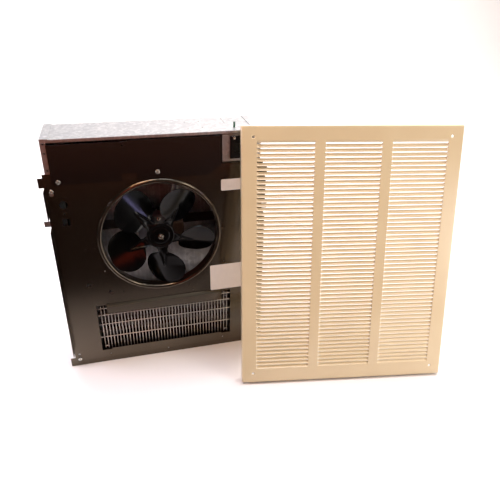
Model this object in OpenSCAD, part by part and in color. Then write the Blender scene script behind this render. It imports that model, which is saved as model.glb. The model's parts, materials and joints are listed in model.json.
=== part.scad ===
// Recessed fan-forced wall heater. A galvanised wall box holds a painted fan panel, which carries
// the fan with its motor and the finned heating elements. The louvred grille is taken off and
// leans on the front of the box.
// Origin: centre of the wall box's underside. +X runs right along the width, +Y towards the wall
// behind the box, and +Z up. The front of the box faces -Y. All sizes are in millimetres.

/* [Wall box] */
// Width of the wall box
box_w = 365; // [350:1:400]
// Height of the wall box
box_h = 462; // [450:1:500]
// Depth of the wall box, front to back
box_d = 94; // [90:1:120]
// Thickness of the galvanised sheet
box_sheet = 1.2; // [0.9:0.1:1.5]
// Width of the return flange down each side of the open front
front_flange = 9; // [8.5:0.5:11]
// Height of the lip along the top front edge
top_lip = 5; // [4:0.5:7]
// Height of the lip along the bottom front edge
foot_lip = 12; // [6:1:16]
// Width of the flaps that the sides fold onto the top, bottom and back
side_flap = 13; // [8:1:18]
// How far a wall tab stands out of each side
wall_tab = 15; // [10:1:20]
// Distance of the wall tabs below the top of the box
wall_tab_down = 152; // [144:1:154]
// Distance of the front flange's holes from the outer side
flange_hole_in = 5; // [4.8:0.1:5.5]
// Distance of the grille's screw holes below the top of the box
grille_hole_down = 8; // [7.5:0.5:12]
// Radius of the screw holes in the front flange
flange_hole_r = 2; // [1.6:0.1:2.2]
// Radius of the nail holes in the sides and the back
nail_hole_r = 2.5; // [2:0.25:3.5]
// Spacing of the side nail holes, front to back
side_hole_gap_y = 50; // [40:1:54]
// Spacing of the back nail holes across the width
back_hole_gap_x = 280; // [200:5:300]
// Vertical spacing of all the nail holes
nail_hole_gap_z = 300; // [280:5:310]
// Width of the square knockout in the top
knockout_w = 44.5; // [36:0.5:50]
// Distance of the knockout's centre from the right side
knockout_in = 33; // [31:1:40]
// Width of the slits round the knockouts
slit = 0.8; // [0.5:0.1:1]

/* [Fan panel] */
// How far the fan panel laps over each side of the box
panel_lap = 5; // [4:0.5:6]
// Height of the wiring space above the fan panel
wiring_h = 58; // [54:1:60]
// Thickness of the painted sheet
panel_sheet = 1.2; // [0.9:0.1:1.5]
// How far the side wings stand out in front of the panel
wing_depth = 22; // [16:1:26]
// Distance of the top ears below the panel's top edge
ear_down = 6; // [3:1:7]
// How far the ears stand out beyond the panel
ear_out = 8; // [5:0.5:9]
// Height of the top ears
ear_h = 17; // [14:1:19]
// Gap between the inlet's bead and the wiring cover above it
cover_gap = 0.4; // [0.3:0.1:3]
// Radius of the round heads of the panel and cover screws
screw_head_r = 3.8; // [3.4:0.1:4]
// Radius of the panel and cover screws' shanks
screw_r = 1.8; // [1.5:0.1:1.9]

/* [Air inlet] */
// Fan axis to the left of the box's centre line
fan_off = 3; // [0:0.5:5]
// Radius of the inlet's throat
throat_r = 104; // [98:0.5:106]
// Radius of the bead round the inlet
bead_r = 4.5; // [3.5:0.25:5.5]
// Depth of the throat behind the panel's front plane
throat_depth = 14; // [10:1:20]

/* [Air outlet] */
// Distance of the outlet's ends from the sides of the box
outlet_in = 51.5; // [47.5:0.5:57]
// Height of the opening's lower edge above the underside
outlet_z = 29; // [27:0.5:31]
// Height of the opening
outlet_h = 107; // [104:0.5:110]
// Width of the plain corner at each end of the hood
outlet_corner = 19; // [16:0.5:22]
// How far the hood stands out of the panel
hood_out = 5; // [3:0.5:7]
// Depth of the hood's upright face
hood_face = 15; // [10:1:18]
// Number of upright guard wires
guard_wires = 41; // [31:1:43]
// Distance of the outermost guard wires from the outlet's ends
guard_in = 7; // [4:0.5:10]
// Radius of the guard wires
guard_r = 0.9; // [0.7:0.05:1.1]

/* [Fan and motor] */
// Number of fan blades
blades = 5; // [4:1:6]
// Clearance between the blade tips and the throat
tip_gap = 3.5; // [3:0.5:8]
// Radius of the two rounds that form each blade's lobe
lobe_r = 32.5; // [28:0.5:34]
// Distance of those rounds from the blade's centre line
lobe_spread = 6.5; // [3:0.5:8]
// Pitch angle of the blades in degrees
blade_pitch = 30; // [20:1:31]
// Direction of the first blade in degrees above the horizontal
blade_phase = -13; // [-30:1:30]
// Thickness of the fan's sheet
blade_sheet = 1.5; // [1:0.1:2]
// Radius of the fan's dished centre
dish_r = 24; // [21:0.5:26]
// Depth of the fan's dished centre
dish_depth = 2; // [2:0.5:4]
// Depth of the fan's blade plane behind the box front
fan_y = 3.5; // [3:0.5:6]
// Radius of the motor shaft
shaft_r = 3.2; // [2.5:0.1:4]
// Radial running clearance of the shaft in its bearings
bearing_gap = 0.05; // [0.02:0.01:0.08]
// Depth of the stator stack behind the box front
stator_y = 32; // [32:0.5:34]
// Thickness of the stator stack
stator_h = 24; // [20:1:26]
// Radius of the rotor
rotor_r = 16.5; // [15:0.5:17]
// Air gap between the rotor and the stator
air_gap = 0.5; // [0.4:0.1:0.8]
// Depth of the motor strap behind the box front
strap_y = 70; // [69:0.5:76]
// Width of the motor strap
strap_w = 19; // [16:1:24]
// Thickness of the motor strap
strap_sheet = 1.5; // [1.2:0.1:2]

/* [Heating elements] */
// Radius of the element's tube
tube_r = 4; // [3.2:0.1:4.5]
// Radius of the element's fins
fin_r = 13; // [10:0.5:14]
// Pitch of the fins
fin_pitch = 6; // [5:0.5:9]
// Thickness of one fin
fin_sheet = 0.6; // [0.4:0.1:1]
// Depth of the front legs behind the box front
leg_front = 26; // [24:0.5:28]
// Spacing of the front and rear legs
leg_gap = 34; // [31:0.5:36]
// Height of the lower element above the outlet's lower edge
element_up = 29; // [23:1:31]
// Vertical spacing of the two elements
element_gap = 42; // [40:0.5:44]
// Distance of the deflector's floor below the outlet
deflector_down = 7; // [5:0.5:9]
// Distance of the deflector's top edge below the outlet's upper edge
deflector_short = 18; // [15:1:20]

/* [Controls] */
// Width of the control bracket
bracket_w = 67.8; // [64:0.2:72]
// Height of the control bracket
bracket_h = 48.5; // [46:0.5:49]
// Width of the switch's face
switch_w = 41; // [38:0.5:44]
// Height of the switch's face
switch_h = 40; // [37:0.5:42]
// Width of the rocker
rocker_w = 22.4; // [18:0.2:24]
// Height of the rocker
rocker_h = 15.6; // [12:0.2:16]
// Tilt of the rocker to each side in degrees
rocker_tilt = 8; // [4:1:10]
// Radius of the reset button
button_r = 2.6; // [2:0.1:3]
// Length of the terminal block
terminal_w = 56; // [50:1:60]
// Radius of the insulated leads
lead_r = 1.7; // [1.2:0.1:2]

/* [Grille] */
// Lap of the grille over each side of the box
grille_lap_x = 14.5; // [14:0.5:37]
// Lap of the grille over the top and the bottom of the box
grille_lap_z = 10.5; // [8:0.5:29]
// Depth of the grille's rim
grille_rim = 22; // [16:1:26]
// Thickness of the grille's sheet
grille_sheet = 1; // [0.8:0.1:1.5]
// Lean of the grille away from upright, in degrees
grille_lean = 13.7; // [11:0.1:16]
// Turn of the grille away from the box's face, in degrees
grille_turn = 9.7; // [6:0.1:12]
// Distance of the grille's left rim, which touches the box, from the box's right side
grille_in = 38.3; // [22.5:0.1:52.5]
// Number of louvres in a column
louvre_rows = 54; // [40:1:55]
// Plain strip above and below the louvres
louvre_end = 28.74; // [26:0.01:34]
// Plain strip between the louvres and the grille's sides
louvre_side = 26.75; // [24:0.25:32]
// Plain strip between two louvre columns
louvre_gap = 18; // [12:0.5:20]
// How far the upper edge of a louvre is pressed back behind the face
louvre_in = 2.4; // [1.5:0.1:3]
// Height of the slot above each louvre
louvre_slot = 2.7; // [2:0.1:3.5]
// Distance of the grille's screw holes from its sides
grille_hole_in = 21; // [18:0.5:22]
// Distance of the grille's screw holes from its top and bottom
grille_hole_end = 19; // [14:0.5:21]

/* [Hidden] */

$fn = 48;
eps = 0.01;         // overlap that fuses the parts of one piece
cut = 1;            // how far a cutting shape runs past the sheet
fit_gap = 0.3;      // clearance of a screw or a tube in its hole

front = -box_d / 2;
back = box_d / 2;
half_w = box_w / 2;
inner_w = box_w - 2 * box_sheet;
panel_h = box_h - wiring_h;
outlet_w = box_w - 2 * outlet_in;
hood_top = outlet_z + outlet_h + 3;
fan_x = -fan_off;
outlet_x = -fan_off;
fan_z = (hood_top + panel_h) / 2 - 0.2;
fan_r = throat_r - tip_gap;
wall_tab_z = box_h - wall_tab_down;
ear_top = panel_h - ear_down;

// Box
flange_hole_x = half_w - flange_hole_in;
flange_hole_z = [box_h - grille_hole_down, box_h - grille_hole_down - 15.5,
                 box_h - grille_hole_down - 44];
nail_z = box_h / 2;
top_hole_x = half_w - 111.7;
top_hole_y = 1.6;
top_hole_gap = [25, 41.5];
knockout_x = half_w - knockout_in;
knockout_d = 42;
knockout_y = back - 24;
ground_x = knockout_x - 10.5;
ground_y = front + 21;
ground_r = 2;

// Panel
panel_w = box_w + 2 * panel_lap;
panel_foot = 0.3;
foot_ear_h = 18.7;
wing_foot = 2 * foot_ear_h + 0.6;
panel_front = front - panel_sheet;
screw_hole_r = screw_r + fit_gap;
screw_head_h = 2.2;
key_z = panel_h - 30;
key_drop = 5.5;
key_r = 3.6;
foot_screw_z = 16;
foot_screw_x = half_w - 3.6;
cover_front = panel_front - panel_sheet;
cover_z = fan_z + throat_r + 2 * bead_r + cover_gap;
cover_left = -half_w + 8.4;
cover_right = half_w - bracket_w - box_sheet - 2;
cover_step = 25;
cover_step_x = -47.5;
service_hole = [20.7 - half_w, panel_h - 55.6];
oval_hole = [41.3 - half_w, hood_top + 45.2];
inlet_hole_place = [[-29.8, 22.5], [-66.7, 8.2], [-66.3, 24.6], [234.7, 21.2], [209.6, 9.3]];
foot_hole_place = [[63.9 - half_w, 17.9], [-3.3, 10.7], [half_w - 70.7, 18.3]];
fixing_hole_r = 1.4;
cover_screw = [[cover_left + 10, cover_z + 5.5], [-1.1, cover_z + 12.2]];
cover_shank = 2 * panel_sheet + 5;
cover_tab_x = -60.9;
cover_tab = [24.4, 12.5];

// Inlet and outlet
bead_centre = throat_r + bead_r;
hood_w = outlet_w - 2 * outlet_corner;
guard_pitch = (outlet_w - 2 * guard_in) / (guard_wires - 1);
plate = [79, 57];
plate_place = [outlet_x + outlet_w / 2 - 1, hood_top + plate[1] / 2 + 1.2];
airflow_size = [60, 21.5];
airflow_place = [half_w - 42.5, panel_h - 41.2];

// Strap, motor and fan
strap_leg = bead_centre + bead_r + 3;
strap_foot = 27;
rivet_x = [strap_leg + 4, strap_leg + 19];
rivet_r = 1.5;
motor_screw_z = 21.5;
motor_screw_r = 2;
stator_half_h = 27;
stator_side = 38;
coil_from = 20.2;
coil_to = 46;
coil_half = 14.8;
bracket_plate = 3;
boss_r = 9;
boss_h = 10;
bearing_r = 5.5;
bearing_h = 8;
shaft_tip = 6;
nut_r = 5.8;
nut_h = 5;
dish_y = front + fan_y - dish_depth;
hub_h = front + stator_y - boss_h - 2 - dish_y - blade_sheet;

// Elements
bracket_in = outlet_w / 2 + 1.3;
element_sheet = 1.2;
sheath_end = bracket_in + element_sheet + 2;
pin_length = 14;
leg_y = [front + leg_front, front + leg_front + leg_gap];
leg_z = [outlet_z + element_up, outlet_z + element_up + element_gap];
bracket_depth = box_d - 8;
deflector_z = outlet_z - deflector_down;
deflector_top = outlet_z + outlet_h - deflector_short;
deflector_r = 24;
deflector_sheet = 0.9;

// Controls
shelf_z = panel_h - 4;
shelf_front = cover_front + cover_shank + 0.6;
bracket_front = front + box_sheet + 0.4;
bracket_z = panel_h + 1.5;
switch_x = inner_w / 2 - bracket_w / 2;
switch_z = bracket_z + 25.5;
switch_face = 2.8;
rocker_z = switch_z - 2;
rocker_pivot = front + 4;
pivot_r = 1.2;
bushing_r = 6.5;
bushing_y = back - 44;
bushing_x = [-half_w + 32.5, half_w - 145.5];
lead_apart = 4.4;
terminal_x = half_w - 130.5;
terminal_y = back - 44;
terminal_d = 20;
terminal_h = 18;
lead_z = shelf_z + box_sheet + 5;
cutout_x = outlet_x - outlet_w / 2 + 29.6;
cutout_z = hood_top + 26.6;
cutout_r = 8;

// Grille
grille_w = box_w + 2 * grille_lap_x;
grille_h = box_h + 2 * grille_lap_z;
grille_x = half_w - grille_in;
grille_hole_r = 2.2;
louvre_bend = 1;
louvre_pitch = (grille_h - 2 * louvre_end) / louvre_rows;
louvre_w = (grille_w - 2 * louvre_side - 2 * louvre_gap) / 3;

// ---------- small helpers ----------

// Raises a flat (x, z) drawing to an upright sheet from y0 backwards
module upright(y0, depth) {
    translate([0, y0 + depth, 0])
        rotate([90, 0, 0])
            linear_extrude(depth) children();
}

// Runs a flat (y, z) section along X from x0
module along_x(x0, length) {
    translate([x0, 0, 0])
        rotate([90, 0, 90])
            linear_extrude(length) children();
}

// Turns a Z axis shape to run along +Y from a point
module facing_back(x, y, z) {
    translate([x, y, z]) rotate([-90, 0, 0]) children();
}

// A box given by its lowest and highest corners
module block(low, high) {
    translate(low) cube(high - low);
}

// A rectangle with round corners, centred
module round_rect(w, h, r) {
    square([w - 2 * r, h], center = true);
    square([w, h - 2 * r], center = true);
    for (sx = [-1, 1], sy = [-1, 1])
        translate([sx * (w / 2 - r), sy * (h / 2 - r)]) circle(r);
}

// Both sides of the width
module both_sides() {
    children();
    mirror([1, 0, 0]) children();
}

// A pan head screw whose head rests on the face y, its shank running back
module screw(x, y, z, head_r, head_h, shank_r, shank) {
    facing_back(x, y, z) {
        difference() {
            translate([0, 0, -head_h]) cylinder(h = head_h, r = head_r);
            translate([0, 0, -head_h - cut])
                cylinder(h = cut + head_h / 2, r = head_r * 0.38, $fn = 6);
        }
        translate([0, 0, -eps]) cylinder(h = shank + eps, r = shank_r);
    }
}

// Corner cutting that rounds a route, point by point
function smooth(p) = [p[0],
    for (i = [0:len(p) - 2]) each [0.75 * p[i] + 0.25 * p[i + 1], 0.25 * p[i] + 0.75 * p[i + 1]],
    p[len(p) - 1]];
function unit(v) = v / norm(v);
function heading(p, i) = unit(p[min(i + 1, len(p) - 1)] - p[max(i - 1, 0)]);

// An insulated lead swept along a route; side is a direction that the route never takes
module lead(route, side) {
    p = smooth(smooth(route));
    n = 8;
    points = [for (i = [0:len(p) - 1]) let (t = heading(p, i), u = unit(cross(t, side)), v = cross(t, u))
        for (k = [0:n - 1]) p[i] + lead_r * (cos(360 * k / n) * u + sin(360 * k / n) * v)];
    walls = [for (i = [0:len(p) - 2], k = [0:n - 1]) let (a = i * n + k, b = i * n + (k + 1) % n)
        each [[a, b + n, b], [a, a + n, b + n]]];
    first = [[for (k = [0:n - 1]) k]];
    last = [[for (k = [n - 1:-1:0]) (len(p) - 1) * n + k]];
    polyhedron(points, concat(walls, first, last), convexity = 4);
}

// ---------- wall box ----------

module knockout_slits() {
    translate([knockout_x, knockout_y]) {
        difference() {
            round_rect(knockout_w, knockout_d, 7);
            round_rect(knockout_w - 2 * slit, knockout_d - 2 * slit, 7 - slit);
            square([knockout_w + cut, 5], center = true);
            square([16, knockout_d + cut], center = true);
        }
        difference() {
            circle(11);
            circle(11 - slit);
            square([24, 4], center = true);
        }
    }
}

module box_shell() {
    color("gainsboro") difference() {
        union() {
            block([-inner_w / 2, front, 0], [inner_w / 2, back, box_sheet]);
            block([-inner_w / 2, back - box_sheet, 0], [inner_w / 2, back, box_h - box_sheet]);
            block([-inner_w / 2, front, box_h - 2 * box_sheet], [inner_w / 2, back, box_h - box_sheet]);
            block([-inner_w / 2, front, box_h - box_sheet - top_lip],
                  [inner_w / 2, front + box_sheet, box_h - box_sheet]);
            block([-half_w + front_flange, front, 0],
                  [half_w - front_flange, front + box_sheet, foot_lip]);
        }
        for (sx = [-1, 1], sz = [-1, 1])
            facing_back(sx * back_hole_gap_x / 2, back - box_sheet - cut, nail_z + sz * nail_hole_gap_z / 2)
                cylinder(h = box_sheet + 2 * cut, r = nail_hole_r);
        translate([0, 0, box_h - 2 * box_sheet - cut]) {
            for (sx = [-1, 1], sy = [-1, 1])
                translate([top_hole_x + sx * top_hole_gap[0] / 2, top_hole_y + sy * top_hole_gap[1] / 2, 0])
                    cylinder(h = box_sheet + 2 * cut, r = 1.6);
            translate([ground_x, ground_y, 0]) cylinder(h = box_sheet + 2 * cut, r = ground_r + 0.1);
            linear_extrude(box_sheet + 2 * cut) knockout_slits();
        }
    }
}

module box_side() {
    difference() {
        union() {
            block([-half_w, front, 0], [-half_w + box_sheet, back, box_h]);
            block([-half_w, front, box_sheet],
                  [-half_w + front_flange, front + box_sheet, box_h - box_sheet - top_lip]);
            block([-half_w, front, box_h - box_sheet], [-half_w + side_flap, back, box_h]);
            block([-half_w, front + box_sheet, box_sheet],
                  [-half_w + side_flap, back - box_sheet, 2 * box_sheet]);
            block([-half_w, back - 2 * box_sheet, box_sheet],
                  [-half_w + side_flap, back - box_sheet, box_h - 2 * box_sheet]);
            block([-half_w - wall_tab, front, wall_tab_z],
                  [-half_w + eps, front + box_sheet, wall_tab_z + 10]);
        }
        for (z = flange_hole_z)
            facing_back(-flange_hole_x, front - cut, z) cylinder(h = box_sheet + 2 * cut, r = flange_hole_r);
        facing_back(-flange_hole_x, front - cut, key_z)
            cylinder(h = box_sheet + 2 * cut, r = screw_hole_r);
        facing_back(-foot_screw_x, front - cut, foot_screw_z)
            cylinder(h = box_sheet + 2 * cut, r = screw_hole_r);
        for (sy = [-1, 1], sz = [-1, 1])
            translate([-half_w - cut, sy * side_hole_gap_y / 2, nail_z + sz * nail_hole_gap_z / 2])
                rotate([0, 90, 0]) cylinder(h = box_sheet + 2 * cut, r = nail_hole_r);
    }
}

module box_side_left() {
    color("lightgray") box_side();
}

module box_side_right() {
    color("lightgray") mirror([1, 0, 0]) box_side();
}

module ground_screw() {
    color("seagreen") translate([ground_x, ground_y, box_h - 2 * box_sheet]) {
        translate([0, 0, -3]) cylinder(h = 3, r = 4.6, $fn = 6);
        translate([0, 0, -eps]) cylinder(h = 11, r = ground_r);
    }
}

// ---------- wiring compartment ----------

module wiring_shelf() {
    color("lightgray") difference() {
        union() {
            block([-inner_w / 2, shelf_front, shelf_z],
                  [inner_w / 2, back - 2 * box_sheet, shelf_z + box_sheet]);
            both_sides()
                block([-inner_w / 2, shelf_front, shelf_z - 12],
                      [-inner_w / 2 + box_sheet, back - 2 * box_sheet, shelf_z + eps]);
            block([-inner_w / 2 + 10, shelf_front, shelf_z],
                  [inner_w / 2 - bracket_w - 4, shelf_front + box_sheet, shelf_z + 11]);
        }
        for (x = bushing_x)
            translate([x, bushing_y, shelf_z - cut]) cylinder(h = box_sheet + 2 * cut, r = bushing_r);
    }
}

module lead_bushings() {
    color("black") for (x = bushing_x)
        translate([x, bushing_y, shelf_z - 1.2]) difference() {
            union() {
                cylinder(h = box_sheet + 1.2 + eps, r = bushing_r - 0.1);
                translate([0, 0, box_sheet + 1.2]) cylinder(h = 1.6, r = bushing_r + 2);
            }
            translate([0, 0, -cut]) cylinder(h = 10, r = bushing_r - 2);
        }
}

module terminal_block() {
    pole = terminal_w / 4;
    base = shelf_z + box_sheet;
    color("ivory") difference() {
        block([terminal_x, terminal_y, base],
              [terminal_x + terminal_w, terminal_y + terminal_d, base + terminal_h]);
        for (i = [0:3]) {
            left = terminal_x + i * pole;
            block([left + 1.5, terminal_y - cut, base + 10],
                  [left + pole - 1.5, terminal_y + terminal_d + cut, base + terminal_h + cut]);
        }
    }
}

module terminal_screws() {
    pole = terminal_w / 4;
    color("goldenrod") for (i = [0:3], y = [5, 15])
        translate([terminal_x + (i + 0.5) * pole, terminal_y + y, shelf_z + box_sheet + 10]) difference() {
            cylinder(h = 3, r = 2.6);
            translate([-0.4, -4, 2]) cube([0.8, 8, 2]);
        }
}

// ---------- disconnect switch ----------

module control_bracket() {
    left = inner_w / 2 - bracket_w;
    right = inner_w / 2;
    color("silver") difference() {
        union() {
            block([left, bracket_front, bracket_z],
                  [right, bracket_front + box_sheet, bracket_z + bracket_h]);
            block([left, bracket_front, bracket_z],
                  [left + box_sheet, bracket_front + 20, bracket_z + bracket_h]);
            block([right - box_sheet, bracket_front, bracket_z],
                  [right, bracket_front + 26, bracket_z + bracket_h]);
            block([left, bracket_front, bracket_z], [right, bracket_front + 14, bracket_z + box_sheet]);
        }
        block([switch_x - 16.2, bracket_front - cut, rocker_z - 14.2],
              [switch_x + 16.2, bracket_front + box_sheet + cut, rocker_z + 14.2]);
        for (sx = [-1, 1])
            facing_back(switch_x + sx * 13.7, bracket_front - cut, switch_z + 17)
                cylinder(h = box_sheet + 2 * cut, r = 1.6);
    }
}

module switch_body() {
    pocket = [rocker_w + 2.6, rocker_h + 0.6];
    color([0.05, 0.05, 0.05]) difference() {
        union() {
            block([switch_x - switch_w / 2, bracket_front - switch_face, switch_z - switch_h / 2],
                  [switch_x + switch_w / 2, bracket_front, switch_z + switch_h / 2]);
            block([switch_x - 16, bracket_front - eps, rocker_z - 14],
                  [switch_x + 16, bracket_front + 25, rocker_z + 14]);
        }
        block([switch_x - pocket[0] / 2, bracket_front - switch_face - cut, rocker_z - pocket[1] / 2],
              [switch_x + pocket[0] / 2, rocker_pivot + 9, rocker_z + pocket[1] / 2]);
        translate([switch_x, rocker_pivot, rocker_z - pocket[1] / 2 - 2.5])
            cylinder(h = pocket[1] + 5, r = pivot_r + bearing_gap);
        for (sx = [-1, 1])
            facing_back(switch_x + sx * 13.7, bracket_front - switch_face - cut, switch_z + 17)
                cylinder(h = switch_face + 2 * cut, r = 1.6);
    }
}

module switch_rocker() {
    h = rocker_w / 2;
    color([0.12, 0.12, 0.13]) translate([switch_x, rocker_pivot, rocker_z]) rotate([0, 0, -rocker_tilt]) {
        translate([0, 0, -rocker_h / 2]) linear_extrude(rocker_h)
            polygon([[-h, -6.4], [0, -4.9], [h, -6.4], [h - 1.5, 0], [4, 5], [-4, 5], [-h + 1.5, 0]]);
        translate([0, 0, -rocker_h / 2 - 2]) cylinder(h = rocker_h + 4, r = pivot_r);
    }
}

module switch_screws() {
    color("silver") for (sx = [-1, 1])
        screw(switch_x + sx * 13.7, bracket_front - switch_face, switch_z + 17,
              2.7, 1.5, 1.4, switch_face + 4);
}

// ---------- fan panel ----------

module panel_outline() {
    translate([-panel_w / 2, panel_foot]) square([panel_w, panel_h - panel_foot]);
    translate([-panel_w / 2 - ear_out, ear_top - ear_h]) square([panel_w + 2 * ear_out, ear_h]);
    translate([-panel_w / 2 - ear_out - 1, panel_foot]) square([panel_w + 2 * ear_out + 2, foot_ear_h]);
}

module panel_holes() {
    // service holes at the left of the inlet
    translate(service_hole) circle(7);
    translate(service_hole - [0.3, 16.5]) circle(1.5);
    translate(service_hole - [-0.5, 32.4]) square([12.5, 12], center = true);
    translate(oval_hole) round_rect(8, 5.5, 2.7);
    // access to the reset button
    translate([cutout_x, cutout_z]) circle(button_r + 0.9);
    translate([cutout_x + 2.3, cutout_z - 3.8]) circle(3.2);
    // small fixing holes
    for (p = inlet_hole_place)
        translate([fan_x, fan_z]) rotate(p[0]) translate([bead_centre + bead_r + p[1], 0])
            circle(fixing_hole_r);
    for (p = foot_hole_place) translate(p) circle(fixing_hole_r);
    // strap rivets, cover screws and the panel's own screws
    for (s = [-1, 1], r = rivet_x)
        translate([fan_x + s * r, fan_z + (s < 0 ? -12 : 6)]) circle(rivet_r + 0.1);
    for (p = cover_screw) translate(p) circle(screw_hole_r);
    both_sides() {
        translate([flange_hole_x, key_z]) circle(screw_hole_r);
        translate([flange_hole_x - screw_hole_r, key_z - key_drop]) square([2 * screw_hole_r, key_drop]);
        translate([flange_hole_x, key_z - key_drop]) circle(key_r);
        translate([foot_screw_x, foot_screw_z]) circle(screw_hole_r);
        translate([foot_screw_x, foot_screw_z + 11]) circle(flange_hole_r);
    }
}

module inlet_bead() {
    facing_back(fan_x, front, fan_z) rotate_extrude($fn = 96) {
        difference() {
            translate([bead_centre, 0]) circle(bead_r);
            translate([bead_centre, 0]) circle(bead_r - panel_sheet);
            translate([bead_centre - 2 * bead_r, 0]) square([4 * bead_r, 2 * bead_r]);
        }
        translate([throat_r, 0]) square([panel_sheet, throat_depth]);
    }
}

module outlet_hood() {
    t = panel_sheet;
    foot = hood_top - hood_out - hood_face;
    along_x(outlet_x - hood_w / 2, hood_w)
        polygon([[panel_front, hood_top + 1.5], [panel_front, hood_top + t / 2],
                 [panel_front - hood_out, hood_top + t / 2 - hood_out], [panel_front - hood_out, foot],
                 [front - hood_out, foot], [front - hood_out, hood_top - hood_out],
                 [front, hood_top], [front, hood_top + 1.5]]);
}

module wing() {
    notch = [wall_tab_z - 2, wall_tab_z + 20];
    for (z = [[wing_foot, notch[0]], [notch[1], ear_top - ear_h - 1]])
        block([-panel_w / 2, front - wing_depth, z[0]], [-panel_w / 2 + panel_sheet, front - eps, z[1]]);
}

module fan_panel() {
    color([0.16, 0.12, 0.09]) union() {
        upright(panel_front, panel_sheet) difference() {
            panel_outline();
            translate([fan_x, fan_z]) circle(bead_centre + bead_r - panel_sheet / 2, $fn = 96);
            translate([outlet_x - outlet_w / 2, outlet_z + 2.5]) square([outlet_w, outlet_h - 2.5]);
            translate([outlet_x - hood_w / 2, outlet_z + 2.5]) square([hood_w, hood_top - outlet_z - 2.5]);
            for (s = [-1, 1])
                translate([outlet_x + s * (outlet_w / 2 - outlet_corner / 2), outlet_z + 2])
                    square([outlet_corner, 4], center = true);
            panel_holes();
        }
        both_sides() wing();
        inlet_bead();
        outlet_hood();
    }
}

module panel_screws() {
    color("silver") both_sides() {
        screw(flange_hole_x, panel_front, key_z, screw_head_r, screw_head_h, screw_r, 8);
        screw(foot_screw_x, panel_front, foot_screw_z, screw_head_r, screw_head_h, screw_r, 8);
    }
}

module wiring_cover() {
    top = box_h - box_sheet - top_lip;
    color([0.09, 0.06, 0.05]) upright(cover_front, panel_sheet) difference() {
        polygon([[cover_left, cover_z], [cover_right - cover_step, cover_z],
                 [cover_right, panel_h - 2], [cover_right, top - 1.5], [cover_step_x, top - 1.5],
                 [cover_step_x, top - 3.2], [cover_left, top - 3.2]]);
        translate([cover_tab_x, cover_z - eps]) square(cover_tab);
        translate([cover_step_x - 9, top - 10]) circle(1.2);
        for (p = cover_screw) translate(p) circle(screw_hole_r);
    }
}

module cover_screws() {
    color("silver") for (p = cover_screw)
        screw(p[0], cover_front, p[1], screw_head_r, screw_head_h, screw_r, cover_shank);
}

module outlet_guard() {
    half = outlet_w / 2 + 0.9;
    low = outlet_z + 2;
    high = outlet_z + outlet_h - 4.5;
    row_y = front + guard_r + 0.3;
    wire_y = row_y + 2 * guard_r - 0.2;
    color("silver") translate([outlet_x, 0, 0]) {
        for (i = [0:guard_wires - 1])
            translate([(i - (guard_wires - 1) / 2) * guard_pitch, wire_y, low])
                rotate([0, 0, 22.5]) cylinder(h = high - low, r = guard_r, $fn = 8);
        for (z = [low + 29, low + 59.5, low + 81, high - 4])
            translate([-half, row_y, z]) rotate([0, 90, 0])
                rotate([0, 0, 22.5]) cylinder(h = 2 * half, r = guard_r, $fn = 8);
        for (s = [-1, 1])
            translate([s * (guard_wires - 2) / 2 * guard_pitch - guard_pitch / 2 - guard_r, row_y, low + 7])
                rotate([0, 90, 0])
                    rotate([0, 0, 22.5]) cylinder(h = guard_pitch + 2 * guard_r, r = guard_r, $fn = 8);
    }
}

module rating_plate() {
    color("antiquewhite") upright(panel_front - 0.3, 0.3)
        translate(plate_place) rotate(0.6) round_rect(plate[0], plate[1], 2.5);
}

module airflow_label() {
    color("antiquewhite") upright(panel_front - 0.3, 0.3)
        translate(airflow_place) round_rect(airflow_size[0], airflow_size[1], 2.5);
}

// ---------- fan and motor ----------

module motor_strap() {
    t = strap_sheet;
    back_y = front + strap_y;
    color([0.07, 0.06, 0.05]) difference() {
        union() {
            block([fan_x - strap_leg - t, back_y, fan_z - strap_w / 2],
                  [fan_x + strap_leg + t, back_y + t, fan_z + strap_w / 2]);
            block([fan_x - 13, back_y, fan_z - stator_half_h],
                  [fan_x + 13, back_y + t, fan_z + stator_half_h]);
            for (s = [-1, 1]) translate([fan_x, 0, fan_z]) mirror([s < 0 ? 0 : 1, 0, 0]) {
                block([-strap_leg - t, front, -strap_w / 2], [-strap_leg, back_y + t, strap_w / 2]);
                block([-strap_leg - strap_foot, front, -18], [-strap_leg, front + t, strap_w / 2 + 2]);
            }
        }
        for (s = [-1, 1], r = rivet_x)
            facing_back(fan_x + s * r, front - cut, fan_z + (s < 0 ? -12 : 6))
                cylinder(h = t + 2 * cut, r = rivet_r + 0.1);
        for (s = [-1, 1])
            facing_back(fan_x, back_y - cut, fan_z + s * motor_screw_z)
                cylinder(h = t + 2 * cut, r = motor_screw_r + 0.2);
    }
}

module strap_rivets() {
    color("silver") for (s = [-1, 1], r = rivet_x)
        facing_back(fan_x + s * r, panel_front, fan_z + (s < 0 ? -12 : 6)) {
            translate([0, 0, -0.8]) cylinder(h = 0.8, r = 2.1);
            translate([0, 0, -eps]) cylinder(h = panel_sheet + strap_sheet + 2 * eps, r = rivet_r);
            translate([0, 0, panel_sheet + strap_sheet]) cylinder(h = 1, r = 2.1);
        }
}

// The laminated core: a bore for the rotor on the left and a limb for the coil on the right
module motor_stator() {
    color([0.45, 0.46, 0.48]) translate([fan_x, 0, fan_z]) upright(front + stator_y, stator_h) difference() {
        square([2 * stator_side, 2 * stator_half_h], center = true);
        circle(rotor_r + air_gap);
        translate([coil_from - 0.2, -coil_half - 0.2]) square([7, 2 * coil_half + 0.4]);
        for (s = [-1, 1]) translate([0, s * motor_screw_z]) circle(motor_screw_r + 0.2);
        for (s = [-1, 1])
            translate([-stator_side, s * stator_half_h]) rotate(45) square(12, center = true);
    }
}

module motor_coil() {
    color([0.1, 0.07, 0.05]) translate([fan_x, front + stator_y, fan_z]) difference() {
        block([coil_from, -8, -coil_half], [coil_to, stator_h + 8, coil_half]);
        block([coil_from + 6.6, -0.2, -coil_half - cut],
              [stator_side + 0.2, stator_h + 0.2, coil_half + cut]);
    }
}

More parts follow.
